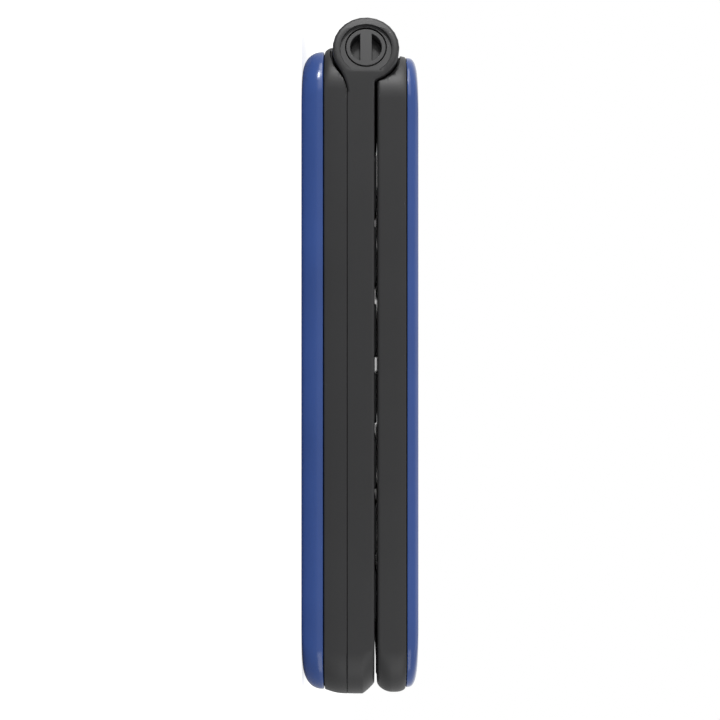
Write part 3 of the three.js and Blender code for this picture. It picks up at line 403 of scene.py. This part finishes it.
def knuckle_on_neck(x0, x1, start, grown=0.0):
    """A round eye, larger by that much, on a neck that flares out of the front housing."""
    eye = knuckle_radius + grown
    drop = axis_z - seam
    flare = (neck_length ** 2 - eye ** 2 + drop ** 2) / (2 * (eye - drop))
    flare_at = (axis_y - neck_length, seam - flare)
    flare_end = math.atan2(axis_z - flare_at[1], axis_y - flare_at[0])
    fillet_z = plate_top + neck_fillet
    fillet_y = axis_y - math.sqrt((eye + neck_fillet) ** 2 - (fillet_z - axis_z) ** 2)
    fillet_end = math.atan2(axis_z - fillet_z, axis_y - fillet_y)
    return side_view(x0, x1, (start, seam), (
        ((flare_at[0], seam), 0),
        (flare_at, flare_end - math.pi / 2),
        ((axis_y, axis_z), fillet_end - flare_end + 2 * math.pi),
        ((fillet_y, fillet_z), -math.pi / 2 - fillet_end),
        ((start, plate_top), 0),
    ))


# The body from above
half_width = 26.5
keypad_corner = 8.2
hinge_corner = 8.4
keypad_end = -53.5
base_end = 50.15
far_out = 60
# The hinge in side view, its trough in the body, and the slit round the neck of each knuckle
axis_y, axis_z = 48.3, 10.03
knuckle_radius = span("base_front_housing")[3] - axis_y
knuckle_inner = 18.35
neck_length = 7.45
neck_fillet = 0.6
knuckle_slit = 0.4
slit_depth = 4
trough_radius = 5.5
# Heights, walls and fits
plate_top = 11.38
seam = 7.17
rear_bottom = rear_seam + 0.15
straight = 0.05
wall = 1.4
end_wall = 1.8
seat = 0.1
fit = 0.3
overlap = 0.2
# Glass-filled polycarbonate from a sparked tool: the grey looks even, and its highlights are broad and dull.
# The real grain is about 0.05 mm wide, and it is drawn at 0.22 mm so that it shows
grey_pc = moulded("sparked_grey_polycarbonate", "#262627", 0.45, 0.38, 0.22, 0.0012)
rear_housing = slab(-half_width, half_width, keypad_end, base_end, seam - straight, seam,
                    keypad_corner, hinge_corner)
# The ends draw in by 0.7 mm on the way down and the sides by less, then a spigot enters the cover
steps = 20
drawn_sides = 0.1
drawn_ends = 0.7
draw_in = []
for i in range(1, steps + 1):
    share = i / steps
    soft = share ** 2.2
    late = share ** 7
    rise = share * (seam - straight - rear_bottom)
    draw_in.append((rise, drawn_sides * soft, drawn_ends * soft, drawn_ends * late))
spigot = 0.45
spigot_depth = 0.12
draw_in.append((draw_in[-1][0], drawn_sides + spigot, drawn_ends + spigot, drawn_ends + spigot))
draw_in.append((draw_in[-1][0] + spigot_depth, *draw_in[-1][1:]))
grow(rear_housing, facing(rear_housing, -1), draw_in)
battery_box = span("battery")
plate = 0.9
bay = slab(*around(battery_box, fit), rear_bottom - 1, seam - plate, 1)
pocket_floor = rear_bottom + plate
pocket = slab(-half_width + wall, half_width - wall, battery_box[3] + fit + wall,
              axis_y - neck_length - wall, pocket_floor, seam + 1, 2)
port_box = span("charging_port")
port_cut = slab(port_box[0] - fit, port_box[1] + fit, keypad_end - 1, port_box[3] + fit,
                port_box[4] - fit, seam + 1)
carve(rear_housing, together(bay, pocket, port_cut))
neck_start = axis_y - neck_length - 2
for grown, inner in ((knuckle_slit, half_width - slit_depth), (seat, knuckle_inner)):
    spans = [sorted((side * inner, side * far_out)) for side in (-1, 1)]
    carve(rear_housing, together(*(knuckle_on_neck(*ends, neck_start, grown) for ends in spans)))
trough = bar(trough_radius, -knuckle_inner - overlap, knuckle_inner + overlap, (0, axis_y, axis_z))
carve(rear_housing, trough)
rear_housing = make("rear_housing", rear_housing, grey_pc, edge=0.1)
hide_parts("base_rear_housing")
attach(rear_housing, "base")


# Front half of the keypad body, of the same grey plastic: the keypad plate with its key holes, a
# chamfered keypad end, and two knuckles on necks that carry the hinge.
def disc(x, y, radius, z0, z1, segments=64):
    """A round plate."""
    bm = bmesh.new()
    bmesh.ops.create_cone(bm, cap_ends=True, segments=segments, radius1=radius, radius2=radius, depth=z1 - z0)
    bmesh.ops.translate(bm, vec=(x, y, (z0 + z1) / 2), verts=bm.verts)
    return bm


def lip_inset(below, radius):
    """How far a rounded edge has drawn in at a depth below its face."""
    reach = max(radius - below, 0)
    return radius - math.sqrt(radius * radius - reach * reach)


def leaning_bar(side, radius, from_face, to_face, rise=0.0):
    """A bar in a knuckle, in lengths from its face, which leans back with the counterbore."""
    ends = sorted((side * from_face, side * to_face))
    return bar(radius, *ends, at=(side * knuckle_face, axis_y + rise, axis_z), lean=side * counterbore_tilt)


base_nose = (1.78, 1.9, 1.15)
lid_nose = (1.65, 2.35, 1.7)
lip_radius = 0.45
shoulder_start = 4.85
shoulder_radius = 30
bend_y = axis_y - shoulder_start
slab_end = axis_y - neck_length + neck_fillet
knuckle_face = half_width - shoulder_radius + math.sqrt(shoulder_radius ** 2 - shoulder_start ** 2)
counterbore_tilt = math.radians(13)
counterbore_radius = 4
counterbore_depth = 0.45
knuckle_bore = 3.2
past_face = 4
plate_under = plate_top - 1.2


def nose(reach, depth, fullness, steps=12, lip_steps=6):
    """Levels from the side wall to a face: a tight lip at the sides, a softened slope at the keypad end."""
    levels = []
    slope = [i / steps * (depth - lip_radius) for i in range(1, steps + 1)]
    lip = [depth - lip_radius * (1 - math.sin(i / lip_steps * math.pi / 2)) for i in range(1, lip_steps + 1)]
    for rise in slope + lip:
        drawn = reach * (1 - max(1 - (rise / depth) ** fullness, 0) ** (1 / fullness))
        levels.append((rise, lip_inset(depth - rise, lip_radius), drawn, 0))
    return levels


def knuckle(side):
    """One knuckle: its outer rim is rounded, and its face bends inwards past the shoulder."""
    outer = side * half_width
    start = slab_end - 0.8
    bm = knuckle_on_neck(*sorted((side * knuckle_inner, outer)), start)
    rim = [e for e in bm.edges if all(abs(v.co.x - outer) < tolerance for v in e.verts)
           and max(v.co.y for v in e.verts) > start + 10 * tolerance]
    bmesh.ops.bevel(bm, geom=rim, offset=lip_radius, segments=6, profile=0.5, affect="EDGES", material=-1)
    reach = axis_y + knuckle_radius - bend_y
    strips = 24
    for i in range(strips):
        bmesh.ops.bisect_plane(bm, geom=bm.verts[:] + bm.edges[:] + bm.faces[:], dist=tolerance,
                               plane_co=(0, bend_y + i / strips * reach, 0), plane_no=(0, 1, 0))
    for v in bm.verts:
        past = v.co.y - bend_y
        if past > 0 and abs(v.co.x) > knuckle_inner + 1:
            v.co.x -= side * (shoulder_radius - math.sqrt(shoulder_radius ** 2 - past ** 2))
    return bm


front_housing = slab(-half_width, half_width, keypad_end, slab_end, seam, plate_top - base_nose[1],
                     keypad_corner, 0)
grow(front_housing, facing(front_housing, 1), nose(*base_nose))
carve(front_housing, together(knuckle(-1), knuckle(1)), "UNION")
web = slab(-knuckle_inner - overlap, knuckle_inner + overlap, slab_end - 1, axis_y - knuckle_radius,
           seam, plate_top)
carve(front_housing, web, "UNION")
carve(front_housing, bar(trough_radius, -knuckle_inner, knuckle_inner, (0, axis_y, axis_z)))
carve(front_housing, slab(-half_width + wall, half_width - wall, keypad_end + end_wall,
                          axis_y - trough_radius - wall, seam - 1, plate_under, keypad_corner - wall))
dial_labels = (1, 2, 3, 4, 5, 6, 7, 8, 9, "star", 0, "hash")
key_names = [f"key_{label}" for label in dial_labels]
key_names += ["send_key", "clear_key", "end_key", "soft_key_left", "soft_key_right"]
key_names += ["message_key", "speaker_key"]
flange_width = 0.5
key_corner = 1.4
holes = [slab(*around(span(name), fit - flange_width), plate_under - 1, plate_top + 1,
              key_corner + fit, segments=6) for name in key_names]
nav_box = span("nav_ring")
nav_y = middle(nav_box)[1]
nav_hole = 10.6
holes.append(disc(0, nav_y, nav_hole, plate_under - 1, plate_top + 1, 96))
microphone_hole = 0.5
holes.append(disc(*middle(span("microphone")), microphone_hole, plate_under - 1, plate_top + 1, 24))
holes += [leaning_bar(side, counterbore_radius, -counterbore_depth, past_face) for side in (-1, 1)]
carve(front_housing, together(*holes))
rocker_box = span("volume_rocker")
rocker_slot = slab(half_width - 2 * wall, far_out, rocker_box[2] - fit, rocker_box[3] + fit,
                   rocker_box[4] - fit, rocker_box[5] + fit, 0.3)
port_top = slab(port_box[0] - fit, port_box[1] + fit, keypad_end - 1, port_box[3] + fit,
                seam - 1, port_box[5] + fit)
cap_start = knuckle_inner + 3.2
cap_rise = 0.25
bores = []
for side in (-1, 1):
    inner = sorted((side * (knuckle_inner - 1), side * cap_start))
    outer = sorted((side * cap_start, side * far_out))
    bores.append(bar(knuckle_bore, *inner, (0, axis_y, axis_z)))
    bores.append(bar(knuckle_bore, *outer, (0, axis_y + cap_rise, axis_z)))
carve(front_housing, together(rocker_slot, port_top, *bores[::2]))
carve(front_housing, together(*bores[1::2]))
front_housing = make("front_housing", front_housing, grey_pc, edge=0.08)
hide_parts("base_front_housing")
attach(front_housing, "base")


# Keys: dark grey polycarbonate caps on a silicone mat, each with a flange under the keypad plate and a
# printed legend. The round pad is a ring that tilts, with a middle key of its own.
flange_depth = 0.45
key_edge = 0.25
# Polycarbonate with a satin etch: smoother and lighter than the housing, so the keys catch the light at
# their rims
key_grey = moulded("satin_dark_grey_key_polycarbonate", "#303133", 0.33, 0.4, 0.35, 0.0012)


def key_cap(bm, foot, top, edge, inset, steps=5):
    """Carries the top of a flange, at foot, up to a key top drawn in by an inset and a rounded edge."""
    levels = [(0, *(inset,) * 3), (top - edge - foot, *(inset,) * 3)]
    for i in range(1, steps + 1):
        turn = i / steps * math.pi / 2
        drawn = inset + edge * (1 - math.cos(turn))
        levels.append((top - edge - foot + edge * math.sin(turn), *(drawn,) * 3))
    grow(bm, facing(bm, 1), levels)


def finish_key(key, name, node, edge):
    """A key as a finished object, which stands for its CAD node and rides with it."""
    key = make(name, key, key_grey, edge=edge, angle=50)
    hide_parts(node)
    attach(key, node)


for name in key_names:
    box = span(name)
    foot = box[4] + flange_depth
    key = slab(*box[:4], box[4], foot, key_corner + flange_width, segments=8)
    key_cap(key, foot, box[5], key_edge, flange_width)
    finish_key(key, f"{name}_cap", name, 0.05)

ok_box = span("ok_key")
ok_radius = 5.1
ok_flange = (ok_box[1] - ok_box[0]) / 2
ok_foot = ok_box[4] + 0.4
ok_key = disc(0, nav_y, ok_flange, ok_box[4], ok_foot)
key_cap(ok_key, ok_foot, ok_box[5], key_edge, ok_flange - ok_radius)
finish_key(ok_key, "ok_key_cap", "ok_key", 0.05)

nav_flange = (nav_box[1] - nav_box[0]) / 2
nav_foot = nav_box[4] + flange_depth
nav_inset = 0.6
nav_edge = 0.35
nav_ring = disc(0, nav_y, nav_flange, nav_box[4], nav_foot, 96)
key_cap(nav_ring, nav_foot, nav_box[5], nav_edge, nav_inset, steps=6)
carve(nav_ring, disc(0, nav_y, ok_radius + fit, nav_box[4] - 1, nav_box[5] + 1))
carve(nav_ring, disc(0, nav_y, ok_flange + 2 * fit, nav_box[4] - 1, nav_foot))
finish_key(nav_ring, "nav_ring_cap", "nav_ring", 0.12)


# Volume rocker: a slim bar of the same dark plastic in a slot in the right side, with a lug that
# it rocks on.
rocker_lug = 1
rocker_back = half_width - wall - 0.02
rocker_y = middle(rocker_box)[1]
rocker = slab(rocker_back, *rocker_box[1:], 0.5, segments=5)
carve(rocker, slab(rocker_box[0], rocker_back + 0.3, rocker_y - rocker_lug, rocker_y + rocker_lug,
                   rocker_box[4] + 0.1, rocker_box[5] - 0.1), "UNION")
rocker = make("rocker_bar", rocker, key_grey, edge=0.25)
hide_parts("volume_rocker")
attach(rocker, "volume_rocker")


# Hinge caps: round plugs of the housing's grey plastic, pressed into the knuckles. Each leans with
# its counterbore and has two half-moon recesses beside an upright bar.
cap_radius = 3.1
cap_proud = 0.15
cap_length = 4.6
recess_radius = 2.42
recess_depth = 1.7
recess_bar = 1.85
for side, label in ((-1, "left"), (1, "right")):
    cap = leaning_bar(side, cap_radius, -cap_length, cap_proud - counterbore_depth, cap_rise)
    recess = leaning_bar(side, recess_radius, -recess_depth - counterbore_depth, past_face - 1, cap_rise)
    carve(recess, slab(-far_out, far_out, axis_y - knuckle_radius, axis_y + knuckle_radius,
                       axis_z - recess_bar / 2, axis_z + recess_bar / 2))
    carve(cap, recess)
    cap = make(f"cap_{label}", cap, grey_pc, edge=0.1)
    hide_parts(f"hinge_cap_{label}")
    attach(cap, "base")


# Lid inner housing: the inner half of the lid in the same grey plastic, with the hinge barrel, the
# sunk seat of the main display's glass, three earpiece slots and a soft shoulder under the cover.
lid_top = span("lid_inner_housing")[5]
lid_face = 11.81
lid_end = 48.8
lid_keypad_end = keypad_end + 0.25
lid_shoulder = 1.6
barrel_radius = 5.05
barrel_half = 18.1
notch_radius = knuckle_radius + 0.25
lid_plate_back = lid_face + 1.07
lid_housing = slab(-half_width, half_width, lid_keypad_end, lid_end, lid_face + lid_nose[1],
                   lid_top - lid_shoulder, keypad_corner, hinge_corner)
grow(lid_housing, facing(lid_housing, -1), nose(*lid_nose))
shoulder_steps = 8
shoulder_reach = (0.1, 0.75, 0.3)
shoulder = []
for i in range(1, shoulder_steps + 1):
    turn = i / shoulder_steps * math.pi / 2
    drawn = 1 - math.cos(turn)
    shoulder.append((lid_shoulder * math.sin(turn), *(reach * drawn for reach in shoulder_reach)))
grow(lid_housing, facing(lid_housing, 1), shoulder)
notches = [sorted((side * barrel_half, side * far_out)) for side in (-1, 1)]
carve(lid_housing, together(*(bar(notch_radius, *ends, (0, axis_y, axis_z)) for ends in notches)))
carve(lid_housing, bar(barrel_radius, -barrel_half, barrel_half, (0, axis_y, axis_z)), "UNION")
inside_end = axis_y - barrel_radius - wall
carve(lid_housing, slab(-half_width + wall, half_width - wall, keypad_end + end_wall, inside_end,
                        lid_plate_back, lid_top + 1, keypad_corner - wall))
lens_box = span("main_display_lens")
lens_gap = 0.15
lens_corner = 2
carve(lid_housing, slab(*around(lens_box, lens_gap), lid_face - 1, lens_box[5], lens_corner, segments=8))
display_box = span("main_display")
display_lap = 0.7
openings = [slab(*around(display_box, -display_lap), lid_face, lid_plate_back + 1, 1, segments=4)]
ear_y = middle(span("earpiece"))[1]
ear_long, ear_wide = 0.8, 0.5
openings += [slab(x - ear_long, x + ear_long, ear_y - ear_wide, ear_y + ear_wide,
                  lid_face - 1, lid_plate_back + 1, ear_wide - 0.02, segments=6) for x in (-2.4, 0, 2.4)]
bumper_box = span("bumper_right")
bumper_x, bumper_y = middle(bumper_box)
bumper_radius = (bumper_box[1] - bumper_box[0]) / 2
openings += [disc(side * bumper_x, bumper_y, bumper_radius + seat, lid_face - 1, bumper_box[5])
             for side in (-1, 1)]
cartridge_x = span("hinge_cartridge")[0]
cartridge_bore = 3
cable_bore = 3.3
openings.append(bar(cartridge_bore, cartridge_x, barrel_half + 1, (0, axis_y, axis_z)))
openings.append(bar(cable_bore, -barrel_half - 1, cartridge_x - wall, (0, axis_y, axis_z)))
carve(lid_housing, together(*openings))
lid_housing = make("lid_housing", lid_housing, grey_pc, edge=0.08)
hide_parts("lid_inner_housing")
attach(lid_housing, "lid")


# Lid outer cover: the same blue satin ABS as the battery door, with a rolled rim, a seat for the
# outer display's glass and a round one for the camera window.
lid_box = span("lid_outer_cover")
cover_top = lid_box[5]
cover_bottom = lid_top + seat
lid_rim = (5.4, 1.65, 2.8)
lid_hollow_corners = (5.8, 5)
lid_cover = slab(*lid_box[:4], cover_bottom, cover_top - lid_rim[1], keypad_corner, hinge_corner)
grow(lid_cover, facing(lid_cover, 1), pebble(*lid_rim))
carve(lid_cover, slab(*around(lid_box, -cover_wall), cover_bottom - 1, cover_top - cover_skin,
                      *lid_hollow_corners))
outer_box = span("outer_display_lens")
window_box = span("camera_window")
window_y = middle(window_box)[1]
window_radius = (window_box[1] - window_box[0]) / 2
lens_ledge = 2.1
camera_hole = 2.8
carve(lid_cover, together(
    slab(*around(outer_box, lens_gap), outer_box[4], cover_top + 1, lens_corner, segments=8),
    disc(0, window_y, window_radius + lens_gap, outer_box[4], cover_top + 1)))
carve(lid_cover, together(
    slab(*around(outer_box, -lens_ledge), cover_bottom, cover_top + 1, 1, segments=4),
    disc(0, window_y, camera_hole, cover_bottom, cover_top + 1)))
lid_cover = make("lid_cover", lid_cover, blue_abs, edge=0.08)
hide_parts("lid_outer_cover")
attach(lid_cover, "lid")


# Display glass: acrylic with a hard coat, printed black on its back but for a window over each display
# and the camera. The dark displays show in it as a slightly greyer field, and it mirrors the room.
print_edge = 0.02


def printed_glass(name, centre, half, corner, window):
    """Glossy glass with black ink round a rounded window at that centre, half size and corner in mm."""
    material = bpy.data.materials.new(name)
    material.use_nodes = True
    tree = material.node_tree
    shader = tree.nodes["Principled BSDF"]
    shader.inputs["Roughness"].default_value = 0.06
    shader.inputs["Coat Weight"].default_value = 0.4
    shader.inputs["Coat Roughness"].default_value = 0.03
    place = add_node(tree, "ShaderNodeTexCoord", {}, {}).outputs["Object"]
    centred = add_node(tree, "ShaderNodeMapping", {}, {
        "Vector": place, "Location": [-value * mm for value in (*centre, 0)]})
    away = add_node(tree, "ShaderNodeVectorMath", {"operation": "ABSOLUTE"}, {0: centred.outputs["Vector"]})
    past = add_node(tree, "ShaderNodeVectorMath", {"operation": "SUBTRACT"}, {
        0: away.outputs["Vector"], 1: [(value - corner) * mm for value in (*half, corner)]})
    outside = add_node(tree, "ShaderNodeVectorMath", {"operation": "MAXIMUM"}, {0: past.outputs["Vector"]})
    flat = add_node(tree, "ShaderNodeVectorMath", {"operation": "MULTIPLY"}, {
        0: outside.outputs["Vector"], 1: (1, 1, 0)})
    reach = add_node(tree, "ShaderNodeVectorMath", {"operation": "LENGTH"}, {0: flat.outputs["Vector"]})
    ink = add_node(tree, "ShaderNodeValToRGB", {}, {})
    scaled = add_node(tree, "ShaderNodeMath", {"operation": "DIVIDE"}, {
        0: reach.outputs["Value"], 1: 2 * corner * mm})
    tree.links.new(scaled.outputs[0], ink.inputs["Fac"])
    ink.color_ramp.elements[0].position = 0.5 - print_edge
    ink.color_ramp.elements[0].color = linear(window)
    ink.color_ramp.elements[1].position = 0.5 + print_edge
    ink.color_ramp.elements[1].color = linear("#050506")
    tree.links.new(ink.outputs["Color"], shader.inputs["Base Color"])
    return material


display_middle = (0, middle(display_box)[1])
ink_margin = 1.6
display_half = (display_box[1] - ink_margin, (display_box[3] - display_box[2]) / 2 - ink_margin)
display_glass = printed_glass("black_printed_display_glass", display_middle, display_half, 0.5, "#101418")
main_lens = slab(*lens_box, lens_corner, segments=8)
main_lens = make("main_glass", main_lens, display_glass, edge=0.12)
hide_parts("main_display_lens")
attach(main_lens, "lid")

outer_half = (10.4, 7.4)
outer_middle = (0, middle(outer_box)[1])
outer_glass = printed_glass("black_printed_outer_glass", outer_middle, outer_half, 0.5, "#11161a")
outer_lens = slab(*outer_box, lens_corner, segments=8)
outer_lens = make("outer_glass", outer_lens, outer_glass, edge=0.15)
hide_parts("outer_display_lens")
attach(outer_lens, "lid")

pupil = 1.6
camera_glass = printed_glass("black_printed_camera_glass", (0, window_y), (pupil, pupil), pupil, "#1a1f2b")
camera_window = disc(0, window_y, window_radius, window_box[4], window_box[5], 96)
camera_window = make("camera_glass", camera_window, camera_glass, edge=0.15)
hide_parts("camera_window")
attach(camera_window, "lid")


# Bumpers: small discs of soft black rubber in the lid's free corners. They keep the two halves apart
# and hide the lid's screws. The rubber has no gloss, only a chalky grain.
rubber = moulded("soft_black_rubber", "#131313", 0.75, 0.25, 0.15, 0.003)
for side, label in ((-1, "left"), (1, "right")):
    bumper = disc(side * bumper_x, bumper_y, bumper_radius, bumper_box[4], bumper_box[5], 48)
    bumper = make(f"stop_{label}", bumper, rubber, edge=0.2)
    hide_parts(f"bumper_{label}")
    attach(bumper, "lid")


# Legends: pale grey print on the key tops. The call keys have a handset, green to answer and red to
# end, and the others have plain digits, letters and signs.
def print_ink(name, colour):
    """Pad-printing ink, a little uneven at 0.3 mm: it lies matt on the satin keys and reads at any angle."""
    return moulded(name, colour, 0.55, 0.3, 0.3, 0.0006, 0.03)


ink_height = 0.015
ink_white = print_ink("pale_grey_printing_ink", "#d5d8da")
ink_green = print_ink("green_printing_ink", "#2fae5b")
ink_red = print_ink("red_printing_ink", "#d0342f")


def lettering(text, size, x=0, y=0):
    """Printed text as a thin plate, centred on a place in mm from the key's middle."""
    curve = bpy.data.curves.new("lettering", "FONT")
    curve.body = text
    curve.size = size
    curve.space_character = 1.06
    curve.align_x = "CENTER"
    curve.align_y = "CENTER"
    curve.extrude = ink_height / 2
    curve.resolution_u = 6
    writer = bpy.data.objects.new("lettering", curve)
    bpy.context.scene.collection.objects.link(writer)
    mesh = bpy.data.meshes.new_from_object(writer.evaluated_get(bpy.context.evaluated_depsgraph_get()))
    bm = bmesh.new()
    bm.from_mesh(mesh)
    bpy.data.objects.remove(writer)
    bpy.data.curves.remove(curve)
    bpy.data.meshes.remove(mesh)
    bmesh.ops.remove_doubles(bm, verts=bm.verts, dist=tolerance)
    bmesh.ops.translate(bm, vec=(x, y, 0), verts=bm.verts)
    return bm


def stroke(x, y, length, width, angle=0.0):
    """A printed straight stroke, centred on a place."""
    bm = slab(-length / 2, length / 2, -width / 2, width / 2, -ink_height / 2, ink_height / 2)
    bmesh.ops.rotate(bm, matrix=Matrix.Rotation(angle, 3, "Z"), verts=bm.verts)
    bmesh.ops.translate(bm, vec=(x, y, 0), verts=bm.verts)
    return bm


def arc_stroke(x, y, radius, width, start, turn):
    """A printed arc about a place."""
    bm = stroke(radius, 0, width, 0.01)
    end = [f for f in bm.faces if f.normal.y > 0.9]
    bmesh.ops.rotate(bm, matrix=Matrix.Rotation(start, 3, "Z"), verts=bm.verts)
    bmesh.ops.spin(bm, geom=end, cent=(0, 0, 0), axis=(0, 0, 1), angle=turn, steps=16)
    bmesh.ops.delete(bm, geom=end, context="FACES_ONLY")
    bmesh.ops.translate(bm, vec=(x, y, 0), verts=bm.verts)
    return bm


def handset(tilt):
    """A telephone handset: an arched grip with a cup at each end."""
    whole = together(
        arc_stroke(0, -1.5, 2.2, 0.75, math.radians(40), math.radians(100)),
        stroke(-1.75, -0.25, 1.1, 1.3, math.radians(45)),
        stroke(1.75, -0.25, 1.1, 1.3, math.radians(-45)),
    )
    bmesh.ops.rotate(whole, matrix=Matrix.Rotation(tilt, 3, "Z"), verts=whole.verts)
    return whole


def printed(key, ink, *marks):
    """Marks printed on a key top about its middle, which ride with the key."""
    box = span(key)
    on_top = box[5] + ink_height / 2 + 0.001
    whole = together(*marks)
    bmesh.ops.translate(whole, vec=(*middle(box), on_top), verts=whole.verts)
    legend = make(f"{key}_legend", whole, ink)
    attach(legend, key)


digit_size, digit_left = 5, 2.2
letters_size, letters_right, letters_drop = 2.7, 2.4, 0.2
letters = {2: "abc", 3: "def", 4: "ghi", 5: "jkl", 6: "mno", 7: "pqrs", 8: "tuv", 9: "wxyz"}
for label in dial_labels:
    if label == "star":
        marks = [stroke(0, 0, 2.6, 0.5, math.radians(turn)) for turn in (30, 90, 150)]
    elif label == "hash":
        marks = [stroke(0, y, 3, 0.42) for y in (-0.55, 0.55)]
        marks += [stroke(x, 0, 3.2, 0.42, math.radians(80)) for x in (-0.6, 0.6)]
    elif label in letters:
        marks = [lettering(str(label), digit_size, -digit_left),
                 lettering(letters[label], letters_size, letters_right, -letters_drop)]
    else:
        marks = [lettering(str(label), digit_size)]
    printed(f"key_{label}", ink_white, *marks)

printed("send_key", ink_green, handset(math.radians(30)))
printed("end_key", ink_red, handset(0))
printed("clear_key", ink_white, lettering("C", 4.2))
for name in ("soft_key_left", "soft_key_right"):
    printed(name, ink_white, stroke(0, 0, 3.4, 0.7))
printed("message_key", ink_white,
        *(stroke(0, y, 4, 0.3) for y in (-1.3, 1.3)),
        *(stroke(x, 0, 0.3, 2.9) for x in (-1.85, 1.85)),
        *(stroke(x, 0.5, 2.2, 0.28, math.radians(turn)) for x, turn in ((-0.9, -38), (0.9, 38))))
printed("speaker_key", ink_white,
        stroke(-1.3, 0, 0.9, 1.2), stroke(-0.5, 0, 0.6, 2.2),
        *(arc_stroke(-0.5, 0, radius, 0.3, math.radians(-35), math.radians(70)) for radius in (1.3, 2.1)))
printed("ok_key", ink_white, lettering("ok", 3.4))
arrow_place = 7.9
arrow_radius = 0.75
arrows = []
for turn in range(0, 360, 90):
    arrow = bmesh.new()
    bmesh.ops.create_cone(arrow, cap_ends=True, segments=3, radius1=arrow_radius, radius2=arrow_radius,
                          depth=ink_height)
    bmesh.ops.translate(arrow, vec=(0, arrow_place, 0), verts=arrow.verts)
    bmesh.ops.rotate(arrow, matrix=Matrix.Rotation(math.radians(turn), 3, "Z"), verts=arrow.verts)
    arrows.append(arrow)
printed("nav_ring", ink_white, *arrows)


# Flex cable: a thin strip of copper tracks under black coverlay, from the main board into the knuckle,
# along the hinge's axis and out of the barrel to the lid's board. It turns with the lid from there.
flex_width = 2.6
flex_thickness = 0.3
flex_tail = 4
base_run = 9.33
# Black coverlay: smooth and half matt, with faint waves
polyimide = moulded("black_polyimide_coverlay", "#1d1b1a", 0.4, 0.4, 0.6, 0.001)
flex_box = span("flex_cable")
flex_y = flex_box[3]
flex_top = flex_box[5]
tail_x = flex_box[1] - flex_width
tail_start = axis_y - barrel_radius - wall - flex_tail
upright = axis_z - flex_width / 2
base_flex = slab(flex_box[0], flex_box[0] + flex_width, flex_box[2], flex_y,
                 base_run, base_run + flex_thickness)
carve(base_flex, slab(flex_box[0], tail_x - seat, flex_y - flex_thickness, flex_y,
                      upright, upright + flex_width), "UNION")
lid_flex = slab(tail_x, flex_box[1], tail_start, flex_y, flex_top - flex_thickness, flex_top)
carve(lid_flex, slab(tail_x, flex_box[1], flex_y - flex_thickness, flex_y, upright, flex_top), "UNION")
for name, flex, body in (("flex_in_base", base_flex, "base"), ("flex_in_lid", lid_flex, "lid")):
    flex = make(name, flex, polyimide)
    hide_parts("flex_cable")
    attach(flex, body)


# The pieces inside and the small metal parts keep their CAD shapes, with their edges broken and the
# finish of what they are made of.
scratch_width = 0.05
scratch_stretch = (1, 0.05, 1)
break_width = 0.06


def brushed_metal(name, colour, roughness):
    """Rolled or turned metal: its polish is uneven along scratches, drawn 0.05 mm wide so that they show."""
    material = bpy.data.materials.new(name)
    material.use_nodes = True
    tree = material.node_tree
    shader = tree.nodes["Principled BSDF"]
    shader.inputs["Metallic"].default_value = 1
    shader.inputs["Base Color"].default_value = linear(colour)
    place = add_node(tree, "ShaderNodeTexCoord", {}, {}).outputs["Object"]
    along = add_node(tree, "ShaderNodeMapping", {}, {"Vector": place, "Scale": scratch_stretch})
    scratches = add_node(tree, "ShaderNodeTexNoise", {}, {
        "Vector": along.outputs["Vector"], "Scale": 1 / (scratch_width * mm), "Detail": 2})
    polish = add_node(tree, "ShaderNodeMapRange", {}, {
        "Value": scratches.outputs["Fac"], "To Min": roughness - 0.06, "To Max": roughness + 0.1})
    tree.links.new(polish.outputs[0], shader.inputs["Roughness"])
    return material


# Bright steel glints on the springs, domes and sockets, and nickel is duller on the screws and cartridge
steel = brushed_metal("bright_rolled_steel", "#b4b6b8", 0.3)
nickelled = brushed_metal("dull_nickelled_steel", "#9a9a98", 0.38)
# Green solder mask is half glossy over a faint weave, and the battery's dark film is slightly wavy
board_green = moulded("solder_masked_fibreglass", "#1d5a3a", 0.4, 0.5, 0.9, 0.002)
battery_film = moulded("printed_battery_film", "#24272d", 0.35, 0.5, 1.2, 0.001)
# The modules are matt black, the mat chalky grey, the acetal waxy white and the unlit panels smooth black
module_black = moulded("black_module_plastic", "#17181a", 0.5, 0.4, 0.2, 0.002)
silicone = moulded("grey_silicone_mat", "#8b8e92", 0.6, 0.35, 0.5, 0.002)
acetal = moulded("natural_acetal", "#e2e1db", 0.4, 0.45, 0.4, 0.001)
panel_black = moulded("dark_display_panel", "#0d0f12", 0.25, 0.5, 0.5, 0.0005)
for finish, names in (
    (steel, ("dome_sheet", "vibration_motor", "sim_socket", "charging_port", "hinge_shaft",
             "hinge_follower", "hinge_spring", "lid_magnet")),
    (nickelled, ("base_screw_left", "base_screw_right", "lid_screw_left", "lid_screw_right",
                 "hinge_cartridge")),
    (board_green, ("main_board", "lid_board")),
    (battery_film, ("battery",)),
    (module_black, ("loudspeaker", "camera_module", "microphone", "earpiece")),
    (silicone, ("keypad_mat",)),
    (acetal, ("nav_gimbal", "hinge_bush")),
    (panel_black, ("main_display", "outer_display")),
):
    for name in names:
        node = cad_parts[name]
        node.data.materials.clear()
        node.data.materials.append(finish)
        joined = node.modifiers.new("joined", "WELD")
        joined.merge_threshold = weld * mm
        broken = node.modifiers.new("broken_edges", "BEVEL")
        broken.limit_method = "ANGLE"
        broken.angle_limit = math.radians(40)
        broken.width = break_width * mm
        broken.segments = 2
